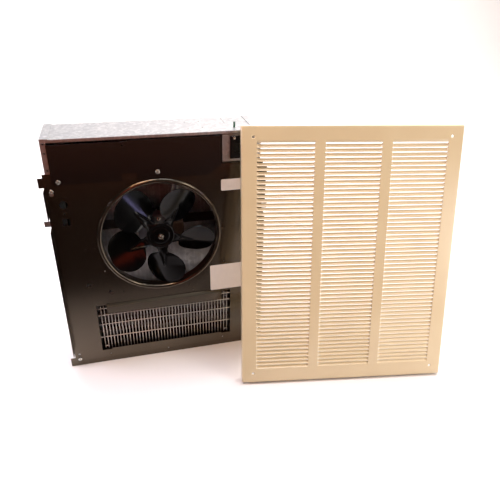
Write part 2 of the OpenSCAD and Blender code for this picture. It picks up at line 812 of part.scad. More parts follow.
// A bridge across the core with the boss that holds one bearing
module bearing_bridge(boss_from, boss_to, plate_from) {
    difference() {
        union() {
            block([-7, plate_from, -stator_half_h + 1], [7, plate_from + bracket_plate, stator_half_h - 1]);
            facing_back(0, boss_from, 0) cylinder(h = boss_to - boss_from, r = boss_r);
        }
        facing_back(0, boss_from - cut, 0) cylinder(h = boss_to - boss_from + 2 * cut, r = bearing_r + 0.05);
        for (s = [-1, 1])
            facing_back(0, plate_from - cut, s * motor_screw_z)
                cylinder(h = bracket_plate + 2 * cut, r = motor_screw_r + 0.2);
    }
}

module motor_front_bracket() {
    face = front + stator_y;
    color([0.55, 0.56, 0.58]) translate([fan_x, 0, fan_z])
        bearing_bridge(face - boss_h, face, face - bracket_plate);
}

module motor_rear_bracket() {
    face = front + stator_y + stator_h;
    color([0.55, 0.56, 0.58]) translate([fan_x, 0, fan_z])
        bearing_bridge(face, face + boss_h, face);
}

module motor_bearings() {
    rear = front + stator_y + stator_h + boss_h - bearing_h - 0.5;
    color("peru") for (y = [front + stator_y - boss_h + 0.5, rear])
        facing_back(fan_x, y, fan_z) difference() {
            cylinder(h = bearing_h, r = bearing_r);
            translate([0, 0, -cut]) cylinder(h = bearing_h + 2 * cut, r = shaft_r + bearing_gap);
        }
}

module motor_screws() {
    seat = front + stator_y - bracket_plate;
    color("silver") for (s = [-1, 1])
        screw(fan_x, seat, fan_z + s * motor_screw_z, 3.6, 2, motor_screw_r,
              strap_y - stator_y + bracket_plate + strap_sheet + 5);
}

module motor_spacers() {
    from = front + stator_y + stator_h + bracket_plate;
    color("gray") for (s = [-1, 1])
        facing_back(fan_x, from, fan_z + s * motor_screw_z) difference() {
            cylinder(h = front + strap_y - from, r = 4);
            translate([0, 0, -cut]) cylinder(h = strap_y, r = motor_screw_r + 0.2);
        }
}

module motor_nuts() {
    color("silver") for (s = [-1, 1])
        facing_back(fan_x, front + strap_y + strap_sheet, fan_z + s * motor_screw_z) difference() {
            cylinder(h = 3.2, r = 4.2, $fn = 6);
            translate([0, 0, -cut]) cylinder(h = 3.2 + 2 * cut, r = motor_screw_r + 0.1);
        }
}

module motor_shaft() {
    color("silver") facing_back(fan_x, front - shaft_tip, fan_z)
        cylinder(h = shaft_tip + stator_y + stator_h + boss_h + 1, r = shaft_r);
}

module motor_rotor() {
    color("darkgray") facing_back(fan_x, front + stator_y + 1, fan_z) difference() {
        cylinder(h = stator_h - 2, r = rotor_r);
        translate([0, 0, -cut]) cylinder(h = stator_h + 2 * cut, r = shaft_r + 0.02);
    }
}

// Outline of one blade in its own plane: a broad round lobe on a narrow root
module blade_outline() {
    for (s = [-1, 1]) translate([fan_r - lobe_r, s * lobe_spread]) circle(lobe_r, $fn = 40);
    translate([fan_r - lobe_r, 0]) square(2 * [lobe_r, lobe_spread], center = true);
    translate([dish_r - 4, -9]) square([fan_r - lobe_r - dish_r, 18]);
}

module fan_blades() {
    t = blade_sheet;
    color([0.04, 0.04, 0.045]) {
        facing_back(fan_x, dish_y, fan_z) rotate_extrude()
            polygon([[shaft_r + 0.1, 0], [dish_r - 5, 0], [dish_r - 3, dish_depth - t],
                     [dish_r, dish_depth - t], [dish_r, dish_depth], [dish_r - 4.2, dish_depth],
                     [dish_r - 6, t], [shaft_r + 0.1, t]]);
        translate([fan_x, front + fan_y - t / 2, fan_z]) for (i = [0:blades - 1])
            rotate([0, -blade_phase - i * 360 / blades, 0])
                rotate([blade_pitch, 0, 0])
                    upright(-t / 2, t) blade_outline();
    }
}

module fan_hub() {
    color("dimgray") facing_back(fan_x, dish_y + blade_sheet, fan_z) difference() {
        union() {
            cylinder(h = 1.5, r = 12);
            cylinder(h = hub_h, r = 7.5);
        }
        translate([0, 0, -cut]) cylinder(h = 20, r = shaft_r + 0.03);
    }
}

module shaft_nut() {
    color("silver") facing_back(fan_x, dish_y - nut_h, fan_z) difference() {
        cylinder(h = nut_h, r = nut_r, $fn = 6);
        translate([0, 0, -cut]) cylinder(h = nut_h + 2 * cut, r = shaft_r + 0.03);
    }
}

// ---------- heating elements ----------

// One finned leg along X: the tube and its fins are one turned shape
module finned_leg(y, z) {
    length = 2 * (bracket_in - 5);
    fins = floor(length / fin_pitch);
    start = -(fins - 1) * fin_pitch / 2;
    translate([outlet_x, y, z]) rotate([0, 90, 0]) {
        translate([0, 0, -sheath_end]) cylinder(h = 2 * sheath_end, r = tube_r, $fn = 24);
        for (i = [0:fins - 1])
            translate([0, 0, start + i * fin_pitch - fin_sheet / 2])
                cylinder(h = fin_sheet, r = fin_r, $fn = 24);
    }
}

module hairpin(z) {
    for (y = leg_y) finned_leg(y, z);
    translate([outlet_x + sheath_end - eps, (leg_y[0] + leg_y[1]) / 2, z]) difference() {
        rotate_extrude() translate([leg_gap / 2, 0]) circle(tube_r, $fn = 24);
        block([-leg_gap, -leg_gap, -leg_gap], [0, leg_gap, leg_gap]);
    }
}

module element_lower() {
    color([0.28, 0.25, 0.22]) hairpin(leg_z[0]);
}

module element_upper() {
    color([0.28, 0.25, 0.22]) hairpin(leg_z[1]);
}

module element_bracket() {
    t = element_sheet;
    difference() {
        union() {
            block([-bracket_in - t, front, deflector_z - 1.5],
                  [-bracket_in, front + bracket_depth, deflector_top + 6]);
            block([-bracket_in - 13, front, deflector_z + 8], [-bracket_in, front + t, deflector_top - 2]);
        }
        for (y = leg_y, z = leg_z)
            translate([-bracket_in - t - cut, y, z]) rotate([0, 90, 0])
                cylinder(h = t + 2 * cut, r = tube_r + fit_gap);
    }
}

module element_bracket_left() {
    color("silver") translate([outlet_x, 0, 0]) element_bracket();
}

module element_bracket_right() {
    color("silver") translate([outlet_x, 0, 0]) mirror([1, 0, 0]) element_bracket();
}

module element_insulators() {
    color("white") for (y = leg_y, z = leg_z)
        translate([outlet_x - sheath_end, y, z]) rotate([0, -90, 0]) difference() {
            cylinder(h = 5, r = tube_r - 0.4);
            translate([0, 0, -cut]) cylinder(h = 5 + 2 * cut, r = 1.4);
        }
}

module element_pins() {
    color("silver") for (y = leg_y, z = leg_z)
        translate([outlet_x - sheath_end, y, z]) rotate([0, -90, 0]) cylinder(h = pin_length, r = 1.3);
}

module air_deflector() {
    t = deflector_sheet;
    r = deflector_r;
    rear = front + bracket_depth - 2;
    color([0.14, 0.11, 0.08]) along_x(outlet_x - bracket_in, 2 * bracket_in) union() {
        translate([front, deflector_z]) square([rear - r - front, t]);
        translate([rear - t, deflector_z + r]) square([t, deflector_top - deflector_z - r]);
        translate([rear - r, deflector_z + r]) intersection() {
            difference() {
                circle(r);
                circle(r - t);
            }
            translate([0, -r]) square(r);
        }
    }
}

module fan_delay_switch() {
    x = outlet_x - bracket_in - element_sheet;
    y = (leg_y[0] + leg_y[1]) / 2;
    z = (leg_z[0] + leg_z[1]) / 2;
    color([0.2, 0.14, 0.1]) translate([x, y, z]) rotate([0, -90, 0]) {
        linear_extrude(1) round_rect(14, 24, 4);
        cylinder(h = 9, r = cutout_r);
        for (s = [-1, 1]) translate([-3, s * 4.5 - 0.4, 8.9]) cube([6, 0.8, 7]);
    }
}

module thermal_cutout() {
    color([0.18, 0.12, 0.09]) facing_back(cutout_x, front, cutout_z) difference() {
        union() {
            linear_extrude(1) round_rect(30, 15, 4);
            cylinder(h = 13, r = cutout_r);
            for (s = [-1, 1]) translate([s * 4.5 - 0.4, -3, 12.9]) cube([0.8, 6, 7]);
        }
        translate([0, 0, -cut]) cylinder(h = 7 + cut, r = button_r + 0.2);
    }
}

module reset_button() {
    color([0.05, 0.05, 0.05]) facing_back(cutout_x, front - 0.4, cutout_z) cylinder(h = 5, r = button_r);
}

// ---------- internal leads ----------

// Two leads from the terminal block's rear to the back of the switch
module supply_leads() {
    rear = terminal_y + terminal_d;
    color("black") for (i = [0, 1]) {
        x = terminal_x + terminal_w - 10 - 12 * i;
        y = rear + 5 + 9 * i;
        to = switch_x - 6 + 12 * i;
        lead([[x, rear, lead_z], [x, y + 1, lead_z], [x + 10, y, lead_z + 14], [to, y, lead_z + 20],
              [to, rear - 14, rocker_z], [to, bracket_front + 25, rocker_z]], [0.2, 0.1, 1]);
    }
}

// The motor's pair of leads, from the coil up through the right bushing to the terminal block
module motor_leads() {
    coil_back = front + stator_y + stator_h + 4.3;
    color("white") for (i = [0, 1]) {
        x = bushing_x[1] + lead_apart * (0.5 - i);
        from = fan_x + 40 - 14 * i;
        to = terminal_y + 4 + 6 * i;
        lead([[from, coil_back, fan_z + coil_half], [from, coil_back, fan_z + 40],
              [x, bushing_y, shelf_z - 30], [x, bushing_y, shelf_z + 8], [x + 1, to - 1, lead_z + 12],
              [terminal_x - 6, to, lead_z], [terminal_x, to, lead_z]], [0.3, 1, 0.1]);
    }
}

// Leads from the element pins up the left side, through the left bushing and along the shelf
module element_leads() {
    pin = outlet_x - sheath_end - pin_length;
    color("black") for (i = [0, 1]) {
        x = bushing_x[0] + lead_apart * (0.5 - i);
        y = bushing_y - 5 + 10 * i;
        run = y + 14;
        to = terminal_y + terminal_d - 4.5;
        z = lead_z + 3 - 6 * i;
        lead([[pin, leg_y[i], leg_z[1]], [pin - 8, leg_y[i], leg_z[1]], [pin - 12, leg_y[i], leg_z[1] + 30],
              [pin - 12, y, fan_z - 31], [pin - 8, y, shelf_z - 40], [x, bushing_y, shelf_z - 8],
              [x, bushing_y, shelf_z + 14 + 9 * i], [bushing_x[0] + 30, run, lead_z + 3],
              [terminal_x - 30, run, lead_z + 3], [terminal_x - 6, to, z], [terminal_x, to, z]],
             [0.2, 1, 0.3]);
    }
}

// ---------- grille ----------

// One louvre: the sheet leaves the face at a bend and is pressed back towards its upper edge,
// which leaves a slot below the next louvre
module louvre_section() {
    t = grille_sheet;
    top = louvre_pitch - louvre_slot;
    polygon([[0, 0], [t, 0], [t, louvre_bend * 0.6], [t + louvre_in, top - t / 2],
             [louvre_in, top], [0, louvre_bend]]);
}

module grille_face() {
    left = louvre_side - grille_w / 2;
    upright(0, grille_sheet) difference() {
        translate([-grille_w / 2, 0]) square([grille_w, grille_h]);
        for (c = [0:2])
            translate([left + c * (louvre_w + louvre_gap), louvre_end + louvre_bend / 2])
                square([louvre_w, louvre_rows * louvre_pitch - louvre_bend / 2]);
        for (sx = [-1, 1], z = [grille_hole_end, grille_h - grille_hole_end])
            translate([sx * (grille_w / 2 - grille_hole_in), z]) circle(grille_hole_r);
    }
    for (c = [0:2])
        along_x(left + c * (louvre_w + louvre_gap) - eps, louvre_w + 2 * eps)
            for (i = [0:louvre_rows - 1]) translate([0, louvre_end + i * louvre_pitch]) louvre_section();
}

module grille() {
    t = grille_sheet;
    rim_y = front - 0.4;
    sunk = grille_rim * sin(grille_lean);
    reach = (box_h - sunk) * tan(grille_lean) + grille_rim / cos(grille_lean);
    color([0.87, 0.76, 0.58]) translate([grille_x, rim_y, 0])
        rotate([0, 0, -grille_turn])
            translate([0, -reach, sunk])
                rotate([-grille_lean, 0, 0]) translate([grille_w / 2, 0, 0]) {
                    grille_face();
                    both_sides() block([-grille_w / 2, 0, 0], [-grille_w / 2 + t, grille_rim, grille_h]);
                    for (z = [0, grille_h - t])
                        block([-grille_w / 2, 0, z], [grille_w / 2, grille_rim, z + t]);
                }
}

box_shell();
box_side_left();
box_side_right();
ground_screw();
wiring_shelf();
lead_bushings();
terminal_block();
terminal_screws();
control_bracket();
switch_body();
switch_rocker();
switch_screws();
fan_panel();
panel_screws();
wiring_cover();
cover_screws();
outlet_guard();
rating_plate();
airflow_label();
motor_strap();
strap_rivets();
motor_stator();
motor_coil();
motor_front_bracket();
motor_rear_bracket();
motor_bearings();
motor_screws();
motor_spacers();
motor_nuts();
motor_shaft();
motor_rotor();
fan_blades();
fan_hub();
shaft_nut();
element_upper();
element_lower();
element_bracket_left();
element_bracket_right();
element_insulators();
element_pins();
air_deflector();
fan_delay_switch();
thermal_cutout();
reset_button();
supply_leads();
motor_leads();
element_leads();
grille();
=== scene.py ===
# %% [markdown]
# # A recessed wall heater with its grille taken off
#
# The real heater is sheet metal: a galvanised box for the wall cavity, a brown enamelled panel
# that carries the fan and the heating elements, and an almond coloured grille that here stands
# on the floor and leans on the box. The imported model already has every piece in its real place
# and size, so this script only gives the pieces their finer forms and their finishes.

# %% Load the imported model
import json
import bmesh
import bpy
import numpy as np
from mathutils import Matrix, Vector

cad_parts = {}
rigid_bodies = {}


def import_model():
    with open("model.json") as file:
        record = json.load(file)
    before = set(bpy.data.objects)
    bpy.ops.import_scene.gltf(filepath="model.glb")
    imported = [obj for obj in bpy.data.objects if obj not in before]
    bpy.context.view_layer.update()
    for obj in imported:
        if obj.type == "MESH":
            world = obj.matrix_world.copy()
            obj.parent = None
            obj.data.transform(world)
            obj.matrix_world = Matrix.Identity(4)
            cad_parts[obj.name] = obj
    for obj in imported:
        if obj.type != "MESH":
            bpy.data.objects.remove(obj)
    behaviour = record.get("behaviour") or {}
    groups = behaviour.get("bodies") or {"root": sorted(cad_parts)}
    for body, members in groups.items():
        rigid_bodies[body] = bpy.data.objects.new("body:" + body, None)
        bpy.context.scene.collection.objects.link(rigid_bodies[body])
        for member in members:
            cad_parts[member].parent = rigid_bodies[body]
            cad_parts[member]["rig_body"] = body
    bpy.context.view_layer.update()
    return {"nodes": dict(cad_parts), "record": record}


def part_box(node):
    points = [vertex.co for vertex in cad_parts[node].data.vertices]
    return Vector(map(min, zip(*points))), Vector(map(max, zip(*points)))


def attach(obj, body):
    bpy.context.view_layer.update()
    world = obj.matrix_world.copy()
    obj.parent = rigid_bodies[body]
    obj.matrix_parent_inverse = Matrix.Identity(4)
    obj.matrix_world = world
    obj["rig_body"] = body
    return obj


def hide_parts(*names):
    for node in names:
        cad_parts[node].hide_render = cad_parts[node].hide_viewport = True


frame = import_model()
slots = {part["node"]: part["material_slot"] for part in frame["record"]["subparts"]}

# %% [markdown]
# ## The camera
#
# The photograph was taken from a little above the heater's left half, looking down and turned
# slightly to the right. A camera could be aimed with a constraint, but writing its three axes
# out as vectors shows what yaw, pitch and roll do, and it leaves nothing live in the file.

# %% Set the camera
yaw, pitch, roll = np.radians([-15.8088, 28.8512, 1.4908])
right = np.array([np.cos(yaw), np.sin(yaw), 0.0])
ahead = np.array([-np.sin(yaw), np.cos(yaw), 0.0])
level_up = np.array([0.0, 0.0, 1.0])
looking = np.cos(pitch) * ahead - np.sin(pitch) * level_up
tipped_up = np.sin(pitch) * ahead + np.cos(pitch) * level_up
camera_x = np.cos(roll) * right + np.sin(roll) * tipped_up
camera_y = np.cos(roll) * tipped_up - np.sin(roll) * right
place = np.eye(4)
place[:3, :3] = np.column_stack([camera_x, camera_y, -looking])
place[:3, 3] = (-0.06848, -0.88147, 0.69934)

lens = bpy.data.cameras.new("camera")
lens.lens, lens.sensor_width, lens.clip_start = 36.242, 36.0, 0.05
camera = bpy.data.objects.new("camera", lens)
camera.matrix_world = Matrix(place.tolist())
bpy.context.scene.collection.objects.link(camera)
bpy.context.scene.camera = camera
print("camera at", place[:3, 3])

# %% [markdown]
# ## Colours and nodes
#
# A paint chip is read as an sRGB hex value, but the shader works in linear light, so one
# function turns the first into the second. Another adds a node, sets its settings and links its
# inputs, and a third starts a material. That keeps each finish below down to a few lines.

# %% Helpers for colours and nodes
def linear(hexcode):
    """An sRGB colour such as #E8D2AE as linear red, green, blue and alpha."""
    share = np.array([int(hexcode[i:i + 2], 16) / 255 for i in (1, 3, 5)])
    share = np.where(share <= 0.04045, share / 12.92, ((share + 0.055) / 1.055) ** 2.4)
    return (*share.tolist(), 1.0)


def add(tree, kind, inputs=None, **settings):
    """Adds a node; each input is given a value, or is linked where the value is a socket."""
    node = tree.nodes.new("ShaderNode" + kind)
    for name, value in settings.items():
        setattr(node, name, value)
    for key, value in (inputs or {}).items():
        if isinstance(value, bpy.types.NodeSocket):
            tree.links.new(value, node.inputs[key])
        else:
            node.inputs[key].default_value = value
    return node


def start_finish(name, colour, **constants):
    """A new material with its constants on the shader's own sockets, and Object coordinates."""
    material = bpy.data.materials.new(name)
    material.use_nodes = True
    tree = material.node_tree
    shader = tree.nodes["Principled BSDF"]
    shader.inputs["Base Color"].default_value = linear(colour)
    for socket, value in constants.items():
        shader.inputs[socket.replace("_", " ")].default_value = value
    return material, tree, shader, add(tree, "TexCoord").outputs["Object"]


print("mid grey #808080 in linear light is", round(linear("#808080")[0], 3))

# %% [markdown]
# ## Grain, tone and skin
#
# Real finishes are never one flat colour. The tone and the skin vary here, and on the zinc the
# gloss too. Each follows soft noise in the piece's own coordinates, so that it doesn't swim when
# the piece moves. Bumps stay below a millimetre, because anything larger is modelled.

# %% Helpers for textures
def per_mm(size):
    """The texture scale, per metre, of a pattern whose grains are this many millimetres."""
    return 1000.0 / size


def blotches(tree, where, size, low, high, detail=3.0, stretch=(1, 1, 1)):
    """Soft noise of one grain size, ranged from low to high, stretched along the axes."""
    spread = add(tree, "Mapping", {"Vector": where, "Scale": stretch})
    noise = add(tree, "TexNoise", {"Vector": spread.outputs[0], "Scale": per_mm(size),
                                   "Detail": detail})
    return add(tree, "MapRange", {"Value": noise.outputs[0], "From Min": 0.3, "From Max": 0.7,
                                  "To Min": low, "To Max": high}).outputs[0]


def tint(tree, shader, factor, first, second):
    """Mixes two colours by a factor and gives them to the shader."""
    mix = add(tree, "Mix", {0: factor, 6: linear(first), 7: linear(second)}, data_type="RGBA")
    tree.links.new(mix.outputs[2], shader.inputs["Base Color"])


def ripple(tree, shader, height, strength, depth_mm):
    """Turns a height into bumps of the given depth."""
    bump = add(tree, "Bump", {"Height": height, "Strength": strength, "Distance": depth_mm / 1000})
    tree.links.new(bump.outputs[0], shader.inputs["Normal"])


print("a grain of 2 mm has a texture scale of", per_mm(2), "per metre")

# %% [markdown]
# ## Hot-dip galvanised sheet
#
# The box, shelf and brackets are mild steel dipped in zinc. Zinc freezes in flat crystals, the
# spangle, about 5 to 10 mm across here, each a shade lighter or darker than the next. Rolling
# and handling leave long faint streaks. A Voronoi cell gives each crystal its own tone, and a
# noise stretched along Z draws the streaks.

# %% Galvanised steel
finishes = {}
material, tree, shader, where = start_finish("hot_dip_galvanised_steel", "#C9CACB",
                                             Metallic=1.0, Roughness=0.34)
cells = add(tree, "TexVoronoi", {"Vector": where, "Scale": per_mm(7)})
tone = add(tree, "SeparateColor", {"Color": cells.outputs["Color"]}).outputs[0]
streaks = blotches(tree, where, 5, 0.0, 1.0, stretch=(1, 1, 0.05))
worn = add(tree, "Math", {0: tone, 1: streaks}, operation="MULTIPLY").outputs[0]
tint(tree, shader, worn, "#B4B5B6", "#DADADA")
rough = add(tree, "MapRange", {"Value": worn, "To Min": 0.40, "To Max": 0.28}).outputs[0]
tree.links.new(rough, shader.inputs["Roughness"])
ripple(tree, shader, blotches(tree, where, 30, 0.0, 1.0), 0.25, 0.6)
finishes["galvanised"] = material
print("galvanised steel ready")

# %% [markdown]
# ## Baked enamels
#
# The fan panel, the wiring cover, the deflector, the fan strap and the grille are sprayed and
# baked. Sprayed enamel dries with orange peel: waves about 1 to 2 mm long and a few hundredths
# of a millimetre deep. They are too shallow to see as bumps, but they soften the reflections.
# All the enamels share that skin, so one function makes them from a colour and a gloss.

# %% Enamels
def enamel(name, first, second, roughness, peel=0.35, **more):
    """Sprayed enamel: two close tones in wide blotches, with an orange peel skin."""
    constants = {"Roughness": roughness, "IOR": 1.5, **more}
    material, tree, shader, where = start_finish(name, first, **constants)
    tint(tree, shader, blotches(tree, where, 60, 0.0, 1.0), first, second)
    ripple(tree, shader, blotches(tree, where, 1.6, 0.0, 1.0, detail=1.0), peel, 0.03)
    return material


finishes["brown_paint"] = enamel("satin_brown_enamel", "#0D0A08", "#100D0A", 0.2,
                                 IOR=1.9, Specular_Tint=linear("#FFEBD0"))
finishes["black_brown_paint"] = enamel("smooth_black_brown_enamel", "#0A0605", "#0C0706", 0.24)
finishes["strap_paint"] = enamel("dull_strap_enamel", "#0C0A08", "#100D0B", 0.45)
finishes["black_paint"] = enamel("gloss_black_enamel", "#030304", "#060606", 0.16,
                                 peel=0.2, Specular_IOR_Level=0.2)
finishes["almond_enamel"] = enamel("baked_almond_enamel", "#C7B38D", "#CBB892", 0.3, IOR=1.8)
print("enamels ready")

# %% [markdown]
# ## Plated, cast and bare metals
#
# Screws and nuts are zinc plated, the guard is plated wire, the fan hub and bearing brackets
# are die cast zinc, the motor core is a stack of bare steel sheets and the bearings are
# sintered bronze. Each differs mainly in tint and in how sharp its highlights are, and each
# has a fine grain: turning marks, a cast skin, or the edges of the sheets.

# %% Metals
def metal(name, first, second, roughness, grain, depth, stretch=(1, 1, 1)):
    """A metal with a grain of the given size in millimetres in its tone and its skin."""
    material, tree, shader, where = start_finish(name, first, Metallic=1.0, Roughness=roughness)
    marks = blotches(tree, where, grain, 0.0, 1.0, stretch=stretch)
    tint(tree, shader, marks, first, second)
    ripple(tree, shader, marks, 0.3, depth)
    return material


finishes["plated_steel"] = metal("zinc_plated_steel", "#AFAFA9", "#D2D2CC", 0.24, 1.2, 0.02)
finishes["plated_wire"] = metal("plated_guard_wire", "#BFB9B4", "#D2CAC3", 0.3, 2.0, 0.02)
finishes["core_steel"] = metal("laminated_core_steel", "#6A6C70", "#8A8C90", 0.45, 1.0, 0.08,
                               stretch=(0.05, 1, 0.05))
finishes["fin_steel"] = metal("heat_tinted_fin_steel", "#3A332D", "#5A5048", 0.42, 4.0, 0.05)
finishes["cast_zinc"] = metal("die_cast_zinc", "#8E9093", "#A2A4A6", 0.5, 1.5, 0.1)
finishes["bronze"] = metal("sintered_bronze", "#A06E3C", "#BC8A52", 0.45, 0.6, 0.04)
finishes["brass_screw"] = metal("turned_brass", "#C79F4B", "#DDB968", 0.25, 1.0, 0.02)
print("metals ready")

# %% [markdown]
# ## Plastics, insulation, ceramic and paper
#
# The switch is black phenolic with a polished rocker, the terminal block is ivory urea, the
# thermostats are brown phenolic, the leads have a soft PVC skin and the labels are coated
# paper. A moulded skin copies the fine spark texture of its mould, about half a millimetre.

# %% Moulded and paper finishes
def moulded(name, first, second, roughness, grain=0.6, depth=0.03, **more):
    """A dielectric with a fine mould or fibre texture of the given grain in millimetres."""
    material, tree, shader, where = start_finish(name, first, Roughness=roughness, IOR=1.5, **more)
    tint(tree, shader, blotches(tree, where, 25 * grain, 0.0, 1.0), first, second)
    ripple(tree, shader, blotches(tree, where, grain, 0.0, 1.0, detail=2.0), 0.4, depth)
    return material


finishes["winding"] = moulded("varnished_winding_tape", "#2A1C14", "#3A281D", 0.4, 1.5, 0.2)
finishes["black_plastic"] = moulded("black_phenolic", "#070708", "#0C0C0D", 0.35,
                                    Specular_IOR_Level=0.25)
finishes["rocker_plastic"] = moulded("polished_black_rocker", "#0B0B0C", "#101011", 0.12,
                                     depth=0.005)
finishes["ivory_plastic"] = moulded("ivory_urea", "#DDD5BC", "#E6DFC9", 0.3)
finishes["brown_plastic"] = moulded("brown_phenolic", "#2E1E15", "#3A271C", 0.38)
finishes["white_ceramic"] = moulded("unglazed_ceramic", "#DAD7CE", "#E6E3DB", 0.6, 0.4)
finishes["green_paint"] = moulded("green_ground_screw", "#2B5642", "#376350", 0.3, 0.5)
finishes["blank_label"] = moulded("coated_label_paper", "#D8D2CB", "#DDD7CF", 0.5, 0.5, 0.02)
finishes["black_insulation"] = moulded("black_wire_insulation", "#101010", "#171717", 0.45)
finishes["white_insulation"] = moulded("white_wire_insulation", "#CFCFCA", "#DEDED9", 0.4)
print("finishes", len(finishes), "of", len(set(slots.values())), "slots")

# %% [markdown]
# ## Folded sheet metal
#
# Most pieces of the heater are folded or punched sheet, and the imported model's solids already
# have their true outlines and holes. What they lack is the small round on every edge, which
# catches a line of light. The solids come as loose triangles, so a copy is merged, its flat
# faces are joined up again, and a Bevel modifier eases the edges. The castings, mouldings and
# nuts are dressed in the same way, each with an ease to suit it.

# %% Ease the edges of the sheet metal
soft_corner = np.radians(32)  # edges that turn by more than this are drawn sharp and eased


def dressed(node, ease, finish=None):
    """A merged copy of a node with eased edges; the ease is in millimetres."""
    finish = finish or slots[node]
    source = frame["nodes"][node]
    mesh = source.data.copy()
    mesh.name = node + "_piece"
    work = bmesh.new()
    work.from_mesh(mesh)
    bmesh.ops.remove_doubles(work, verts=work.verts, dist=2e-6)
    bmesh.ops.dissolve_limit(work, angle_limit=np.radians(1.0), verts=work.verts, edges=work.edges)
    work.to_mesh(mesh)
    work.free()
    mesh.materials.clear()
    mesh.materials.append(finishes[finish])
    mesh.shade_smooth()
    mesh.set_sharp_from_angle(angle=soft_corner)
    piece = bpy.data.objects.new(node + "_piece", mesh)
    bpy.context.scene.collection.objects.link(piece)
    bevel = piece.modifiers.new("eased_edges", "BEVEL")
    bevel.width, bevel.segments = ease / 1000, 2
    bevel.limit_method, bevel.angle_limit = "ANGLE", soft_corner
    bevel.harden_normals = True
    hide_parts(node)
    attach(piece, source["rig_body"])


eases = {"box_shell": 0.4, "box_side_left": 0.4, "box_side_right": 0.4, "wiring_shelf": 0.3,
         "control_bracket": 0.3, "fan_panel": 0.35, "wiring_cover": 0.5, "motor_strap": 0.4,
         "element_bracket_left": 0.3, "element_bracket_right": 0.3, "air_deflector": 0.2,
         "motor_stator": 0.3, "motor_coil": 2.5, "motor_front_bracket": 0.8,
         "motor_rear_bracket": 0.8, "terminal_block": 0.5, "switch_body": 0.5,
         "lead_bushings": 0.4, "fan_delay_switch": 0.4, "thermal_cutout": 0.4,
         "reset_button": 0.5, "fan_hub": 0.6, "motor_nuts": 0.3, "shaft_nut": 0.5,
         "motor_shaft": 0.5, "motor_rotor": 0.4, "terminal_screws": 0.2, "motor_spacers": 0.2,
         "element_insulators": 0.3, "element_pins": 0.2, "motor_bearings": 0.2}
for node, ease in eases.items():
    dressed(node, ease)
dressed("strap_rivets", 0.3, finish="brown_paint")  # sprayed over together with the panel
print("dressed", len(eases) + 1, "pieces of sheet metal and small solids")

# %% [markdown]
# ## Surfaces from arrays
#
# The other pieces are surfaces worked out with numpy: a grid of points, each a function of its
# row and column, and quads between neighbours. Three helpers cover them: one lists the quads,
# one turns a profile round an axis, and one joins the grids of a piece into a mesh.

# %% Grid helpers
def quads(rows, columns, around=False):
    """Corner numbers of the quads of a grid; around also joins the last column to the first."""
    number = np.arange(rows * columns).reshape(rows, columns)
    if around:
        number = np.column_stack([number, number[:, :1]])
    corners = number[:-1, :-1], number[:-1, 1:], number[1:, 1:], number[1:, :-1]
    return np.stack(corners, -1).reshape(-1, 4)


def turned(profile, sides):
    """Each point (radius, height) of a profile carried round the Z axis in equal steps."""
    radius, height = np.array(profile, float).T
    angle = np.linspace(0, 2 * np.pi, sides, endpoint=False)
    rise = np.repeat(height[:, None], sides, axis=1)
    grid = np.stack([np.outer(radius, np.cos(angle)), np.outer(radius, np.sin(angle)), rise], -1)
    return grid, quads(len(radius), sides, around=True)


def make_piece(name, grids, node, sharp=40, closed=True, weld=1e-6):
    """Joins (points in mm, quads) grids into one mesh that stands for a node."""
    counts = np.cumsum([0] + [points.size // 3 for points, _ in grids])
    points = np.concatenate([points.reshape(-1, 3) for points, _ in grids]) / 1000
    faces = np.concatenate([corners + first for (_, corners), first in zip(grids, counts)])
    mesh = bpy.data.meshes.new(name)
    mesh.from_pydata(points, [], faces)
    work = bmesh.new()
    work.from_mesh(mesh)
    bmesh.ops.remove_doubles(work, verts=work.verts, dist=weld)
    bmesh.ops.dissolve_degenerate(work, edges=work.edges, dist=1e-7)
    if closed:
        bmesh.ops.holes_fill(work, edges=work.edges, sides=200)
        bmesh.ops.recalc_face_normals(work, faces=work.faces)
    work.to_mesh(mesh)
    work.free()
    mesh.shade_smooth()
    mesh.set_sharp_from_angle(angle=np.radians(sharp))
    mesh.materials.append(finishes[slots[node]])
    piece = bpy.data.objects.new(name, mesh)
    bpy.context.scene.collection.objects.link(piece)
    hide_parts(node)
    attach(piece, frame["nodes"][node]["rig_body"])
    print(name, len(mesh.polygons), "faces")
    return piece


print("a grid of 3 by 4 points has", len(quads(3, 4)), "quads")

# %% [markdown]
# ## The grille
#
# The real grille is one pan of thin sheet: a face with three columns of pressed louvres, and a
# rim 22 mm deep folded back all round. Here it leans on the box. A parent or a rotated object
# could tip it, but one function that turns flat grille coordinates into leaning ones lets every
# part of the pan be worked out flat.

# %% The grille's place
grille_w, grille_h, rim, box_h = 394.0, 483.0, 22.0, 462.0
lean, turn = np.radians(13.7), np.radians(9.7)
stands_at = (144.2, -47.4)  # where the left edge of the grille meets the front of the box
sunk = rim * np.sin(lean)
reach = (box_h - sunk) * np.tan(lean) + rim / np.cos(lean)


def leaning(across, back, up):
    """Grille coordinates turned back by the lean, then about Z, and set against the box."""
    y = -reach + back * np.cos(lean) + up * np.sin(lean)
    z = sunk - back * np.sin(lean) + up * np.cos(lean)
    return np.stack([across * np.cos(turn) + y * np.sin(turn) + stands_at[0],
                     y * np.cos(turn) - across * np.sin(turn) + stands_at[1], z], -1)


print("the grille's foot stands", round(reach, 1), "mm in front of the box")

# %% [markdown]
# ### The louvres
#
# A louvre is made by punching a slot and pressing the sheet below it back, so the strip leaves
# the face at a bend, slopes inwards towards its upper edge, and closes up at both ends. A height
# function does this directly: the face is a grid, and how far a point lies behind it depends on
# its place in its own louvre.

